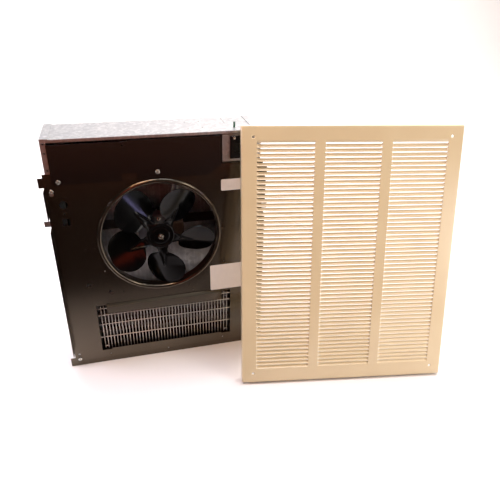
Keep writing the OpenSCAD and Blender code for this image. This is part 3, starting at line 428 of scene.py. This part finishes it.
# %% The louvred face
rows, pitch = 54, 7.88
pressed, slot_h, rounding = 3.0, 2.7, 4.0  # a louvre's depth, its slot, and its rounded end
foot, margin, gap = 28.74, 26.75, 18.0  # plain borders below and beside the louvres, and bars
column_w = (grille_w - 2 * margin - 2 * gap) / 3
near_end = np.array([-0.6, 0.0, 0.3, 0.9, 1.8, 2.8, rounding])
column = np.concatenate([near_end, column_w - near_end[::-1]])
starts = margin + np.arange(3) * (column_w + gap)
border = np.array([6.0, 16.0, 26.0])
across = np.concatenate([border, (starts[:, None] + column).ravel(), grille_w - border[::-1]])
to_ends = np.minimum(across[:, None] - starts, starts + column_w - across[:, None])
from_end = np.clip(to_ends.max(1), 0, rounding)
inside = np.sqrt(1 - (1 - from_end / rounding) ** 2)
share = np.array([0.0, 0.08, 0.2, 0.42, 0.7, 1.0])  # of the way up a louvre
depth_curve = np.array([0.0, 0.17, 0.42, 0.74, 0.93, 1.0])  # how far back it is there
row = np.arange(rows)[:, None, None]
top_edge = pitch - slot_h * np.clip(inside * 1.3, 0, 1)
up = foot + row * pitch + share[:, None] * top_edge[None, None, :]
back = np.broadcast_to(pressed * depth_curve[:, None] * inside, up.shape)
louvres = leaning(np.broadcast_to(across, up.shape), back, up)
face = quads(rows * len(share), len(across)).reshape(rows * len(share) - 1, -1, 4)
is_slot = (np.arange(rows * len(share) - 1) + 1) % len(share) == 0
face = face[~is_slot].reshape(-1, 4)


def strip(levels, skip):
    """Plain bands of the face between two heights, with cells left out for the screw holes."""
    grid = leaning(*np.broadcast_arrays(across[None, :], 0.0, np.array(levels)[:, None]))
    cells = quads(len(levels), len(across)).reshape(len(levels) - 1, -1, 4)
    keep = np.ones(cells.shape[:2], bool)
    for at in skip:
        keep[at] = False
    return grid, cells[keep]


bottom_levels, top_levels = [6.0, 14.0, 24.0, foot], [foot + rows * pitch, 459.0, 469.0, 477.0]
screw_cells = [(1, 1), (1, len(across) - 3)]
bottom, top = strip(bottom_levels, screw_cells), strip(top_levels, screw_cells)
print("louvres", 3 * rows, "face columns", len(across))

# %% [markdown]
# ### Screw holes and rim
#
# The screw holes are round, so the cell of the grid at each one is replaced by rings that pass
# from the square to the circle. The rim is a profile carried round the outline: out over the
# small bend radius of the fold, and back to the open edge.

# %% Screw holes, rim and the finished pan
def hole_patch(x, z, half=5.0, radius=2.2, steps=16):
    """Rings from a square cell's four corners to a circle, by mixing the two along each ray."""
    angle = (np.arange(steps) + 0.5) * 2 * np.pi / steps
    angle = np.sort(np.concatenate([angle, np.pi / 4 + np.arange(4) * np.pi / 2]))
    ray = np.stack([np.cos(angle), np.sin(angle)], -1)
    corner = half * np.sign(ray)
    square = half * ray / np.abs(ray).max(1, keepdims=True)
    flat = np.stack([corner, 0.55 * square + 0.45 * radius * ray, radius * ray])
    grid = leaning(flat[..., 0] + x, 0.0 * flat[..., 0], flat[..., 1] + z)
    return grid, quads(3, len(angle), around=True)


def rim_band(levels, corner=3.0, fold=2.2):
    """Carries a profile, out over the fold and back along the flange, round the face's edge. At
    each point of the edge it lies along a ray that points outwards, and turns at the corners."""
    inset = across[0] - corner
    quarter = np.linspace(-np.pi / 2, 0, 7)
    edge, ray, centre = [], [], []
    for number, (sx, sz) in enumerate(((1, -1), (1, 1), (-1, 1), (-1, -1))):
        along = across if number % 2 == 0 else levels
        along = along if number < 2 else along[::-1]
        still = np.full(len(along), (levels[0], across[-1], levels[-1], across[0])[number])
        straight = np.stack([along, still] if number % 2 == 0 else [still, along], -1)
        away = number * np.pi / 2 - np.pi / 2
        outwards = np.broadcast_to([np.cos(away), np.sin(away)], straight.shape)
        last = np.array([across[-1] if sx > 0 else across[0], levels[-1] if sz > 0 else levels[0]])
        turning = quarter + number * np.pi / 2
        edge += [straight, np.broadcast_to(last, (len(turning), 2))]
        ray += [outwards, np.stack([np.cos(turning), np.sin(turning)], -1)]
        centre += [straight + inset * outwards, edge[-1] + inset * np.array([sx, sz])]
    edge, ray, centre = np.concatenate(edge), np.concatenate(ray), np.concatenate(centre)
    bend = np.linspace(0, np.pi / 2, 6)
    out = np.concatenate([corner - fold + fold * np.sin(bend), [corner]])
    back = np.concatenate([[0.0], fold - fold * np.cos(bend), [rim]])
    flat = np.concatenate([edge[None], centre + out[:, None, None] * ray])
    points = leaning(flat[..., 0], back[:, None] * np.ones(len(edge)), flat[..., 1])
    return points, quads(len(back), len(edge), around=True)[:, ::-1]


levels = np.concatenate([bottom_levels[:-1], up[..., 0].ravel(), top_levels[1:]])
levels = np.unique(levels.round(5))
hole_x, hole_z = 21.0, 19.0
holes = [hole_patch(x, z) for x in (hole_x, grille_w - hole_x) for z in (hole_z, grille_h - hole_z)]
pan = make_piece("grille_pan", [(louvres, face), bottom, top, rim_band(levels), *holes], "grille",
                 sharp=50, closed=False, weld=2e-5)
sheet = pan.modifiers.new("sheet_thickness", "SOLIDIFY")
sheet.thickness, sheet.offset = 0.001, -1.0
print("grille pan", len(pan.data.polygons), "faces before its thickness")

# %% [markdown]
# ## The wire guard
#
# The guard is a grid of plated wires, 1.8 mm thick, that cross and are spot welded. A wire is
# the simplest swept form: a circle carried along a straight line, with its ends rounded off.

# %% Guard wires
def rod(start, finish, radius, sides=10, dome=0.4):
    """A circle carried from start to finish; its ends shrink in to round off the tips."""
    start, finish = np.array(start, float), np.array(finish, float)
    axis = (finish - start) / np.linalg.norm(finish - start)
    other = np.array([1.0, 0, 0]) if abs(axis[0]) < 0.5 else np.array([0, 1.0, 0])
    u = np.cross(axis, other)
    u /= np.linalg.norm(u)
    v = np.cross(axis, u)
    length = np.linalg.norm(finish - start)
    tip = np.array([0.0, 0.0, dome * 0.5, dome])
    along = np.concatenate([tip, length - tip[::-1]])
    width = radius * np.array([0.0, 0.5, 0.87, 1.0, 1.0, 0.87, 0.5, 0.0])
    angle = np.linspace(0, 2 * np.pi, sides, endpoint=False)
    ring = np.cos(angle)[:, None] * u + np.sin(angle)[:, None] * v
    grid = start + along[:, None, None] * axis + width[:, None, None] * ring
    return grid, quads(len(along), sides, around=True)


outlet_x, wire_r, wires, wire_pitch, row_half = -3.0, 0.9, 41, 6.2, 131.9
front_y = -47.0  # the front plane of the box
low, high, row_y = 31.0, 131.5, front_y + 0.9 + 0.3
wire_y = row_y + 2 * wire_r - 0.2  # the crossing wires are welded 0.2 mm into each other
upright = [rod((x, wire_y, low), (x, wire_y, high), wire_r)
           for x in outlet_x + (np.arange(wires) - (wires - 1) / 2) * wire_pitch]
level = [rod((outlet_x - row_half, row_y, z), (outlet_x + row_half, row_y, z), wire_r)
         for z in (low + 29, low + 59.5, low + 81, high - 4)]
tie = wire_pitch / 2 + wire_r  # half a short wire, which ties the last two uprights
short = [rod((x - tie, row_y, low + 7), (x + tie, row_y, low + 7), wire_r)
         for x in (outlet_x - 19.5 * wire_pitch, outlet_x + 19.5 * wire_pitch)]
make_piece("guard_wires", upright + level + short, "outlet_guard")

# %% [markdown]
# ## Finned heating elements
#
# Each element is a steel tube bent to a hairpin, with a steel strip wound round it on edge as
# a continuous helical fin. The fin is a surface of two parameters: how far round the helix, and
# how far out from the tube.

# %% Elements
def fin(y, z, inner=3.9, outer=13.0, pitch=6.0, half=126.3, steps=20):
    """Points at radius r and turn t of a helix about the tube: x grows by one pitch a turn."""
    turns = int(2 * half / pitch)
    t = np.linspace(0, turns, turns * steps + 1)[:, None]
    radius = np.array([inner, outer])[None, :]
    x = outlet_x - turns * pitch / 2 + t * pitch + 0 * radius
    angle = 2 * np.pi * t
    middle = np.stack([x, y + radius * np.cos(angle), z + radius * np.sin(angle)], -1)
    thick = np.array([0.35, 0.0, 0.0])
    foot, rim = middle[:, 0], middle[:, 1]
    section = [foot - thick, rim - thick, rim + thick, foot + thick]
    return np.stack(section, 1), quads(len(t), 4, around=True)


near_leg, far_leg = -21.0, 13.0


def hairpin(z, radius=4.0, ends=135.5, sides=16):
    """A circle carried along one leg, round the half circle at the right, and back."""
    bend = np.linspace(-np.pi / 2, np.pi / 2, 17)
    middle, half = (near_leg + far_leg) / 2, (far_leg - near_leg) / 2
    route = np.stack([np.cos(bend) * half + outlet_x + ends, np.sin(bend) * half + middle], -1)
    route = np.concatenate([[[outlet_x - ends, near_leg]], route, [[outlet_x - ends, far_leg]]])
    step = np.gradient(route, axis=0)
    step /= np.linalg.norm(step, axis=1, keepdims=True)
    angle = np.linspace(0, 2 * np.pi, sides, endpoint=False)
    sideways = radius * np.cos(angle)
    grid = np.stack([route[:, :1] - step[:, 1:] * sideways, route[:, 1:] + step[:, :1] * sideways,
                     np.broadcast_to(z + radius * np.sin(angle), (len(route), sides))], -1)
    return grid, quads(len(route), sides, around=True)


for node, z in {"element_lower": 58.0, "element_upper": 100.0}.items():
    make_piece(node + "_hairpin", [hairpin(z), fin(near_leg, z), fin(far_leg, z)], node)

# %% [markdown]
# ## The fan
#
# The fan is pressed from one disc of sheet: a dished centre, and five round lobes on narrow
# roots. Each lobe is twisted to its pitch, curved a little across its width so that it scoops
# the air, and stiffened by a V of pressed ribs that meets near the lobe's middle. Those curves
# are what break up the reflections, so the blade is a grid from root to tip and from edge to
# edge, pushed out of its plane by a camber and a rib function.

# %% Blades
fan_x, fan_z, plane_y = -3.0, 271.3, -44.25
hub_r, neck, rib_end, tip = 17.0, 36.0, 64.0, 100.5  # radii, from the hub outwards
lobe, spread = 32.5, 6.5  # a lobe's own radius, and its extra width


def ramp(value, start, length):
    """A share that grows from 0 at the start to 1 over the length."""
    return np.clip((value - start) / length, 0, 1)


def blade(angle, tip_pitch=np.radians(30.0), sheet_t=1.5):
    """Out from the hub by s and across by c, with the pitch growing from nothing at the hub. The
    half width is that of two circles set apart, joined to a narrow root. The height drops away
    from a crease along the middle of the lobe, and rises in a ridge along each line of the V,
    whose point lies where the crease begins."""
    over_lobe = tip - lobe + lobe * np.sin(np.linspace(-0.93, 1.0, 44) * np.pi / 2)
    s = np.concatenate([np.linspace(hub_r, neck, 12)[:-1], over_lobe])
    c = np.sin(np.linspace(-1, 1, 65) * np.pi / 2)
    c = 0.5 * c + 0.5 * np.linspace(-1, 1, 65)
    circle = np.sqrt(np.clip(lobe ** 2 - (s - (tip - lobe)) ** 2, 0, None))
    circle = circle + spread * np.sqrt(ramp(s, neck, 6))
    root = 9.0 + 3.0 * ramp(-s, -30, 10)
    half = np.sqrt(circle ** 2 + (root * ramp(-s, -52, 16)) ** 2)
    out, cross = s[:, None] + 0 * c, half[:, None] * c
    crease = 1.2 + 7 * ramp(out, 50, 45)
    fold = np.sqrt(cross ** 2 + crease ** 2) - crease
    drop = 0.07 * fold * ramp(out, 40, 22) + 2.4 * (cross / 39) ** 2 * ramp(out, 24, 20)
    drift = np.clip(8.5 * (rib_end - out) / 36, 0, 9.5)
    ridge = 1.7 * np.exp(-((np.abs(cross) - drift) / 1.3) ** 2)
    height = ridge * ramp(-out, -rib_end - 2, 4) * ramp(out, 22, 5) - drop
    grown = ramp(out, 19, 24)
    pitch_here = tip_pitch * grown ** 2 * (3 - 2 * grown)
    skins = []
    for raised in (height + 0.5 * sheet_t, height - 0.5 * sheet_t):
        y = -raised * np.cos(pitch_here) - cross * np.sin(pitch_here)
        z = cross * np.cos(pitch_here) - raised * np.sin(pitch_here)
        skins.append(np.stack([fan_x + out * np.cos(angle) - z * np.sin(angle), plane_y + y,
                               fan_z + out * np.sin(angle) + z * np.cos(angle)], -1))
    front, rear = skins
    loop = np.concatenate([front, rear[:, ::-1]], axis=1)
    return loop, quads(len(s), loop.shape[1], around=True)


def facing_front(grid, x, y, z):
    """A shape turned round Z laid over so that its top points to the front, -Y."""
    points, corners = grid
    return np.stack([x + points[..., 0], y - points[..., 2], z + points[..., 1]], -1), corners


dish_front = [(3.3, 0.0), (3.3, 1.5), (14.5, 1.5), (15.5, 1.3), (16.5, 0.9), (18.5, 0.9),
              (20.0, 1.1), (21.5, 1.6), (23.0, 1.7), (24.6, 1.4), (25.6, 0.7), (25.8, -0.2)]
dish_back = [(25.2, -0.6), (24.4, -0.3), (23.0, 0.4), (21.0, 0.0), (19.0, -0.5), (16.5, -0.5),
             (14.0, 0.0), (3.3, 0.0)]
dish = facing_front(turned(dish_front + dish_back, 60), fan_x, -44.0, fan_z)
blades = [blade(np.radians(-14 + 72 * i)) for i in range(5)]
make_piece("pressed_fan", [dish, *blades], "fan_blades", sharp=50)

# %% [markdown]
# ## Screws
#
# All the visible screws have pan heads with a cross recess. A head is a height over a round
# grid: a dome that falls off at its edge, less the cross, which is deepest in the middle.

# %% Pan head screws
def pan_head(x, y, z, spin, radius, height, shank_r, shank, sides=40):
    """Height is the dome minus the recess; the recess is two crossed grooves."""
    ring = radius * np.array([0, 0.12, 0.24, 0.36, 0.48, 0.6, 0.74, 0.88, 0.96, 1.0])
    angle = np.linspace(0, 2 * np.pi, sides, endpoint=False)
    px, pz = np.outer(ring, np.cos(angle)), np.outer(ring, np.sin(angle))
    dome = height * (1 - 0.12 * (ring / radius) ** 2 - 0.28 * (ring / radius) ** 10)[:, None]
    arm = np.minimum(np.abs(px * np.cos(spin) + pz * np.sin(spin)),
                     np.abs(pz * np.cos(spin) - px * np.sin(spin)))
    inside = np.clip(1.4 - arm / (0.13 * radius), 0, 1)
    inside = inside * np.clip((0.62 * radius - ring[:, None]) / (0.1 * radius), 0, 1)
    head = np.stack([x + px, y - (dome - 0.55 * height * inside), z + pz], -1)
    skirt = [(radius, height * 0.45), (radius, 0.0), (shank_r, 0.0), (shank_r, -shank),
             (0.0, -shank - 0.8 * shank_r)]
    below, _ = facing_front(turned(skirt, sides), x, y, z)
    below = np.concatenate([head[-1:], below])
    return [(grid, quads(len(grid), sides, around=True)) for grid in (head, below)]


panel_y, cover_y, switch_x = -48.2, -49.4, 147.4
# radius and height of the head, radius and length of the shank
screw_sizes = {"panel_screws": (3.8, 2.2, 1.8, 8), "cover_screws": (3.8, 2.2, 1.8, 7.4),
               "switch_screws": (2.7, 1.5, 1.4, 6.8), "motor_screws": (3.6, 2.0, 2.0, 47.5)}
# where the head seats, and how far its cross is turned
screw_places = {
    "panel_screws": [(-177.5, panel_y, 374.0, 0.3), (177.5, panel_y, 374.0, 1.0),
                     (-178.9, panel_y, 16.0, 0.8), (178.9, panel_y, 16.0, 0.1)],
    "cover_screws": [(-164.1, cover_y, 390.2, 0.9), (-1.1, cover_y, 396.9, 0.5)],
    "switch_screws": [(s * 13.7 + switch_x, panel_y, 448.0, 0.4) for s in (-1, 1)],
    "motor_screws": [(fan_x, -18.0, fan_z + s * 21.5, 0.2) for s in (-1, 1)],
}
for node, places in screw_places.items():
    lo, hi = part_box(node)
    print(node, "box", [round(v * 1000, 1) for v in (*lo, *hi)])
    screws = [grid for place in places for grid in pan_head(*place, *screw_sizes[node])]
    make_piece(node + "_turned", screws, node)

# %% [markdown]
# ## Labels
#
# The labels are thin coated film with rounded corners. Hand laid film never lies quite flat: it
# stands off the panel by a fraction of a millimetre at one corner, which shows as a soft edge
# shadow. Their faces are left blank here.

# %% Blank labels
def label(name, node, x, z, wide, high, tilt, corner=2.5, lift=0.45, bell=160):
    """A grid on a rectangle whose corner zones are drawn in to quarter circles, turned by a
    small tilt, and lifted by a bell curve about its lower right corner."""
    zone, lines = corner * np.linspace(0, 1, 6), []
    for size in (wide, high):
        middle = np.linspace(corner - size / 2, size / 2 - corner, 15)[1:-1]
        lines.append(np.concatenate([zone - size / 2, middle, size / 2 - zone[::-1]]))
    u, v = np.meshgrid(*lines)
    over = np.stack([np.clip(np.abs(u) - wide / 2 + corner, 0, None),
                     np.clip(np.abs(v) - high / 2 + corner, 0, None)])
    draw = over.max(0) / np.maximum(np.hypot(*over), 1e-9)
    u = np.sign(u) * (np.minimum(np.abs(u), wide / 2 - corner) + over[0] * draw)
    v = np.sign(v) * (np.minimum(np.abs(v), high / 2 - corner) + over[1] * draw)
    rise = 0.25 + lift * np.exp(-((u - wide / 2) ** 2 + (v + high / 2) ** 2) / bell)
    across = u * np.cos(tilt) - v * np.sin(tilt)
    points = np.stack([x + across, panel_y - rise, z + u * np.sin(tilt) + v * np.cos(tilt)], -1)
    piece = make_piece(name, [(points, quads(*u.shape))], node, closed=False)
    film = piece.modifiers.new("film", "SOLIDIFY")
    film.thickness, film.offset = 0.0002, -1.0


label("rating_film", "rating_plate", 127.0, 168.7, 79.0, 57.0, np.radians(0.6))
label("airflow_film", "airflow_label", 140.0, 362.8, 60.0, 21.5, 0.0)

# %% [markdown]
# ## Rocker of the summer switch
#
# The rocker is a prism seen end on, with two paddles that meet in a shallow valley over the
# pivot. Its profile is carried along the pivot and drawn in at both ends, which rounds them.

# %% Switch rocker
def rocker(x=switch_x, y=-43.0, z=429.0, wide=11.2, high=15.6, tilt=np.radians(-8)):
    """The front curves from the valley up to both tips as |x| to the power 1.6."""
    front_x = np.linspace(-wide, wide, 33)
    front = np.stack([front_x, -4.9 - 1.5 * (np.abs(front_x) / wide) ** 1.6], -1)
    flank = np.array([[10.9, -5.6], [10.3, -2.5], [9.6, 0.2], [4.2, 4.9], [3.4, 5.0]])
    outline = np.concatenate([front, flank, flank[::-1] * [-1, 1]])
    along = np.array([-0.5, -0.5, -0.485, -0.46, -0.42, 0.42, 0.46, 0.485, 0.5, 0.5]) * high
    size = np.array([0.0, 0.93, 0.965, 0.99, 1.0, 1.0, 0.99, 0.965, 0.93, 0.0])
    flat = size[:, None, None] * outline
    grid = np.stack([x + flat[..., 0] * np.cos(tilt) - flat[..., 1] * np.sin(tilt),
                     y + flat[..., 0] * np.sin(tilt) + flat[..., 1] * np.cos(tilt),
                     z + np.broadcast_to(along[:, None], flat.shape[:2])], -1)
    profile = [(0, -9.8), (1.1, -9.8), (1.2, -9.6), (1.2, 9.6), (1.1, 9.8), (0, 9.8)]
    pin, corners = turned(profile, 20)
    return [(grid, quads(len(along), len(outline), around=True)),
            (pin + np.array([x, y, z]), corners)]


make_piece("moulded_rocker", rocker(), "switch_rocker", sharp=50)

# %% [markdown]
# ## Leads
#
# A lead is stranded copper in a soft sleeve, so it turns corners in easy curves. Cutting the
# corners of a route again and again, always a quarter of the way along, rounds it to a smooth
# curve, and a circle is carried along that.

# %% Insulated leads
def sleeve(route, side, radius=1.7, sides=14):
    """Cuts the route's corners three times and carries a circle along it. Two directions across
    the route come from its own direction and a side direction that it never takes."""
    p = np.array(route, float)
    for _ in range(3):
        cuts = np.stack([0.75 * p[:-1] + 0.25 * p[1:], 0.25 * p[:-1] + 0.75 * p[1:]], 1)
        p = np.concatenate([p[:1], cuts.reshape(-1, 3), p[-1:]])
    forward = np.gradient(p, axis=0)
    forward /= np.linalg.norm(forward, axis=1, keepdims=True)
    u = np.cross(forward, side)
    u /= np.linalg.norm(u, axis=1, keepdims=True)
    v = np.cross(forward, u)
    angle = np.linspace(0, 2 * np.pi, sides, endpoint=False)[None, :, None]
    ring = radius * (np.cos(angle) * u[:, None] + np.sin(angle) * v[:, None])
    return p[:, None] + ring, quads(len(p), sides, around=True)


lead_z = 406.2  # height of the terminals' holes
supply, winding_leads, element_leads = [], [], []
for i in (0, 1):
    x, y, to = 98 - 12 * i, 28 + 9 * i, 141.4 + 12 * i
    route = [(x, 23, lead_z), (x, y + 1, lead_z), (x + 10, y, lead_z + 14),
             (to, y, lead_z + 20), (to, 9, 429), (to, -20.4, 429)]
    supply.append(sleeve(route, (0.2, 0.1, 1)))

    x, start, to = 37 + 4.4 * (0.5 - i), 37 - 14 * i, 7 + 6 * i
    route = [(start, 13.3, 286.1), (start, 13.3, 311.3), (x, 3, 370), (x, 3, 408),
             (x + 1, to - 1, lead_z + 12), (46, to, lead_z), (52, to, lead_z)]
    winding_leads.append(sleeve(route, (0.3, 1, 0.1)))

    x, y, z = -150 + 4.4 * (0.5 - i), -2 + 10 * i, lead_z + 3 - 6 * i
    leg = (near_leg, far_leg)[i]
    route = [(-152.5, leg, 100), (-160.5, leg, 100), (-164.5, leg, 130), (-164.5, y, 240.3),
             (-160.5, y, 360), (x, 3, 392), (x, 3, 414 + 9 * i), (-120, y + 14, lead_z + 3),
             (22, y + 14, lead_z + 3), (46, 18.5, z), (52, 18.5, z)]
    element_leads.append(sleeve(route, (0.2, 1, 0.3)))
make_piece("supply_sleeves", supply, "supply_leads")
make_piece("winding_sleeves", winding_leads, "motor_leads")
make_piece("element_sleeves", element_leads, "element_leads")

# %% [markdown]
# ## Ground screw
#
# The green screw has a six sided head inside the box and its thread stands up through the top.
# A thread is a radius that rises and falls with height, shifted a little at every angle, so
# that one turn round climbs one pitch.

# %% Ground screw
def threaded(x, y, low, high, radius=2.0, pitch=0.8, depth=0.32, sides=24):
    """Radius is a triangle wave of height over pitch less angle over a full turn."""
    height = np.linspace(low, high, int((high - low) / pitch * 6))[:, None]
    angle = np.linspace(0, 2 * np.pi, sides, endpoint=False)[None, :]
    wave = np.abs(((height / pitch - angle / (2 * np.pi)) % 1) * 2 - 1)
    r = radius - depth * wave - 0.5 * np.clip((height - high + 0.8) / 0.8, 0, 1)
    r[0], r[-1] = 0, 0
    grid = np.stack([x + r * np.cos(angle), y + r * np.sin(angle), height + 0 * angle], -1)
    return grid, quads(len(height), sides, around=True)


ground_x, ground_y, ground_z, thread_top = 139.0, -26.0, 459.6, 470.6
head, corners = turned([(0, -3.0), (4.0, -3.0), (4.55, -2.6), (4.6, -0.4), (4.3, 0), (0, 0)], 6)
make_piece("ground_screw_turned", [(head + np.array([ground_x, ground_y, ground_z]), corners),
                                   threaded(ground_x, ground_y, ground_z, thread_top)],
           "ground_screw", sharp=35)

# %% [markdown]
# ## Whatever is left
#
# Every node has been replaced by now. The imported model's own meshes still take their finish, so
# that a node whose piece were left out would keep its look.

# %% Finish the plain nodes
for node, source in frame["nodes"].items():
    source.data.materials.clear()
    source.data.materials.append(finishes[slots[node]])
print("plain nodes", [n for n, o in frame["nodes"].items() if not o.hide_render])

# %% [markdown]
# ## Studio
#
# The heater stands on a seamless white table, and pale far walls fill every view. Polished
# enamel also mirrors what is in front of it, out of the picture. Here that is a dark sheet on
# the floor, and a brick coloured one beyond it, which only mirror images show. Flags such as
# visible_camera do that without any trick in the materials.

# %% Floor, walls and cloths
floor_colour, faded_colour = "#DDDAD7", "#F2EEEA"


def stage_piece(name, points, corners, material):
    """A smooth mesh of the stage, which isn't part of the heater."""
    mesh = bpy.data.meshes.new(name)
    mesh.from_pydata(np.reshape(points, (-1, 3)), [], corners)
    mesh.shade_smooth()
    mesh.materials.append(material)
    piece = bpy.data.objects.new(name, mesh)
    bpy.context.scene.collection.objects.link(piece)
    return piece


def cloth(name, outline, colour, fade_from=-0.33, fade_to=-0.08):
    """A dull sheet on the floor from the corners of its outline, which fades to nearly white
    as it nears the heater. Only mirror images show it."""
    dull = {"Roughness": 1.0, "Specular_IOR_Level": 0.0}
    material, tree, shader, where = start_finish(name, colour, **dull)
    nearness = add(tree, "SeparateXYZ", {0: where}).outputs["Y"]
    faded = add(tree, "MapRange", {"Value": nearness, "From Min": fade_from, "From Max": fade_to})
    tint(tree, shader, faded.outputs[0], colour, faded_colour)
    points = [(x, y, 0.002) for x, y in outline]  # 2 mm above the floor
    piece = stage_piece(name, points, [tuple(range(len(points)))], material)
    piece.visible_camera = piece.visible_shadow = piece.visible_diffuse = False


def sweep(name, colour, front=-4.7, half_width=4.7, bend_y=1.5, bend_r=1.2, top=1.7):
    """A floor that curves up behind into a wall: an arc between two straight runs."""
    arc = np.linspace(-np.pi / 2, 0, 16)
    y = np.concatenate([[front], bend_y + bend_r * np.cos(arc), [bend_y + bend_r]])
    z = np.concatenate([[0.0], bend_r + bend_r * np.sin(arc), [top]]) - 0.0002
    x = np.array([-half_width, half_width])
    grid = np.stack(np.broadcast_arrays(x[None, :], y[:, None], z[:, None]), -1)
    material = start_finish(name, colour, Roughness=0.55)[0]
    stage_piece(name, grid, quads(len(y), 2), material)


def far_walls(name, colour, radius=4.6, top=4.0, sides=48):
    """A wall all round as an arc carried upwards. Only the camera sees it: it keeps every view
    pale, and the polished pieces still mirror the darker room."""
    angle = np.linspace(0, 2 * np.pi, sides, endpoint=False)
    z = np.array([-0.01, top])[:, None]
    grid = np.stack(np.broadcast_arrays(radius * np.cos(angle), radius * np.sin(angle), z), -1)
    glow = {"Emission_Color": linear(colour), "Emission_Strength": 1.0}
    material = start_finish(name, "#000000", **glow)[0]
    piece = stage_piece(name, grid, quads(2, sides, around=True), material)
    piece.visible_glossy = piece.visible_diffuse = False
    piece.visible_shadow = piece.visible_transmission = False


far_walls("far_walls", "#E8E6E4")
sweep("white_sweep", floor_colour)
cloth("dark_cloth", [(-1.6, -1.32), (1.6, -1.32), (1.6, -0.95), (0.35, -0.8), (0.12, -0.24),
                     (0.2, -0.2), (0.2, -0.06), (-1.6, -0.06)], "#241812")
cloth("brick_cloth", [(-1.6, -2.6), (1.6, -2.6), (1.6, -1.32), (-1.6, -1.32)], "#A65A38")
print("stage set: floor, far walls and two cloths")

# %% [markdown]
# ## Lights
#
# Soft light comes from large lamps. One is overhead, two are high in front, one stands at the
# left and one washes the wall behind. The cards and the cool window are small: they are there
# to be mirrored, in the fan's blades and along the grille.

# %% Lights and sky
def soft_light(name, where, aim, size, power, colour):
    """A square area light at a place, turned towards a point."""
    light = bpy.data.lights.new(name, "AREA")
    light.shape, light.size, light.energy = "SQUARE", size, power
    light.color = linear(colour)[:3]
    lamp = bpy.data.objects.new(name, light)
    back = np.array(where, float) - np.array(aim, float)
    back /= np.linalg.norm(back)
    side = np.cross([0, 0, 1.0], back)
    side /= np.linalg.norm(side)
    place = np.eye(4)
    place[:3, :3] = np.column_stack([side, np.cross(back, side), back])
    place[:3, 3] = where
    lamp.matrix_world = Matrix(place.tolist())
    bpy.context.scene.collection.objects.link(lamp)


soft_light("overhead", (0.1, 0.3, 2.2), (0.1, 0.2, 0.0), 1.4, 56, "#E2EBFF")
soft_light("front_top", (-0.42, -0.55, 1.9), (0.15, -0.1, 0.2), 0.8, 13, "#FFC894")
soft_light("right_top", (1.3, -1.2, 1.4), (0.35, -0.15, 0.25), 0.6, 12, "#FFF6EC")
soft_light("right_card", (0.85, -0.75, 0.25), (0.42, -0.17, 0.2), 0.36, 2.0, "#FFF6F0")
soft_light("wall_washer", (1.1, 1.0, 2.4), (1.1, 2.4, 0.6), 1.4, 96, "#FFF4EE")
soft_light("warm_card", (-0.3, -1.05, 0.62), (0.0, 0.0, 0.25), 0.3, 0.7, "#F0502C")
soft_light("cool_window", (1.39, -1.05, 0.78), (0.1, 0.0, 0.3), 0.12, 0.8, "#C4BCFF")
soft_light("left_window", (-1.5, 0.2, 0.7), (0.0, 0.0, 0.25), 0.6, 24, "#E6E0F6")
world = bpy.data.worlds.new("studio")
world.use_nodes = True
sky = world.node_tree
direction = add(sky, "TexCoord").outputs["Generated"]
towards_glow = add(sky, "VectorMath", {0: direction, 1: (0.42, 0.56, 0.71)},
                   operation="DOT_PRODUCT").outputs["Value"]
bright = add(sky, "MapRange", {"Value": towards_glow, "From Min": -0.1, "From Max": 0.65,
                               "To Min": 0.02, "To Max": 0.8},
             interpolation_type="SMOOTHSTEP").outputs[0]
background = sky.nodes["Background"]
background.inputs[0].default_value = linear("#FBFAF8")
sky.links.new(bright, background.inputs[1])
bpy.context.scene.world = world
bpy.context.scene.view_settings.view_transform = "Standard"
print("studio lit by", len(bpy.data.lights), "lights and the sky")
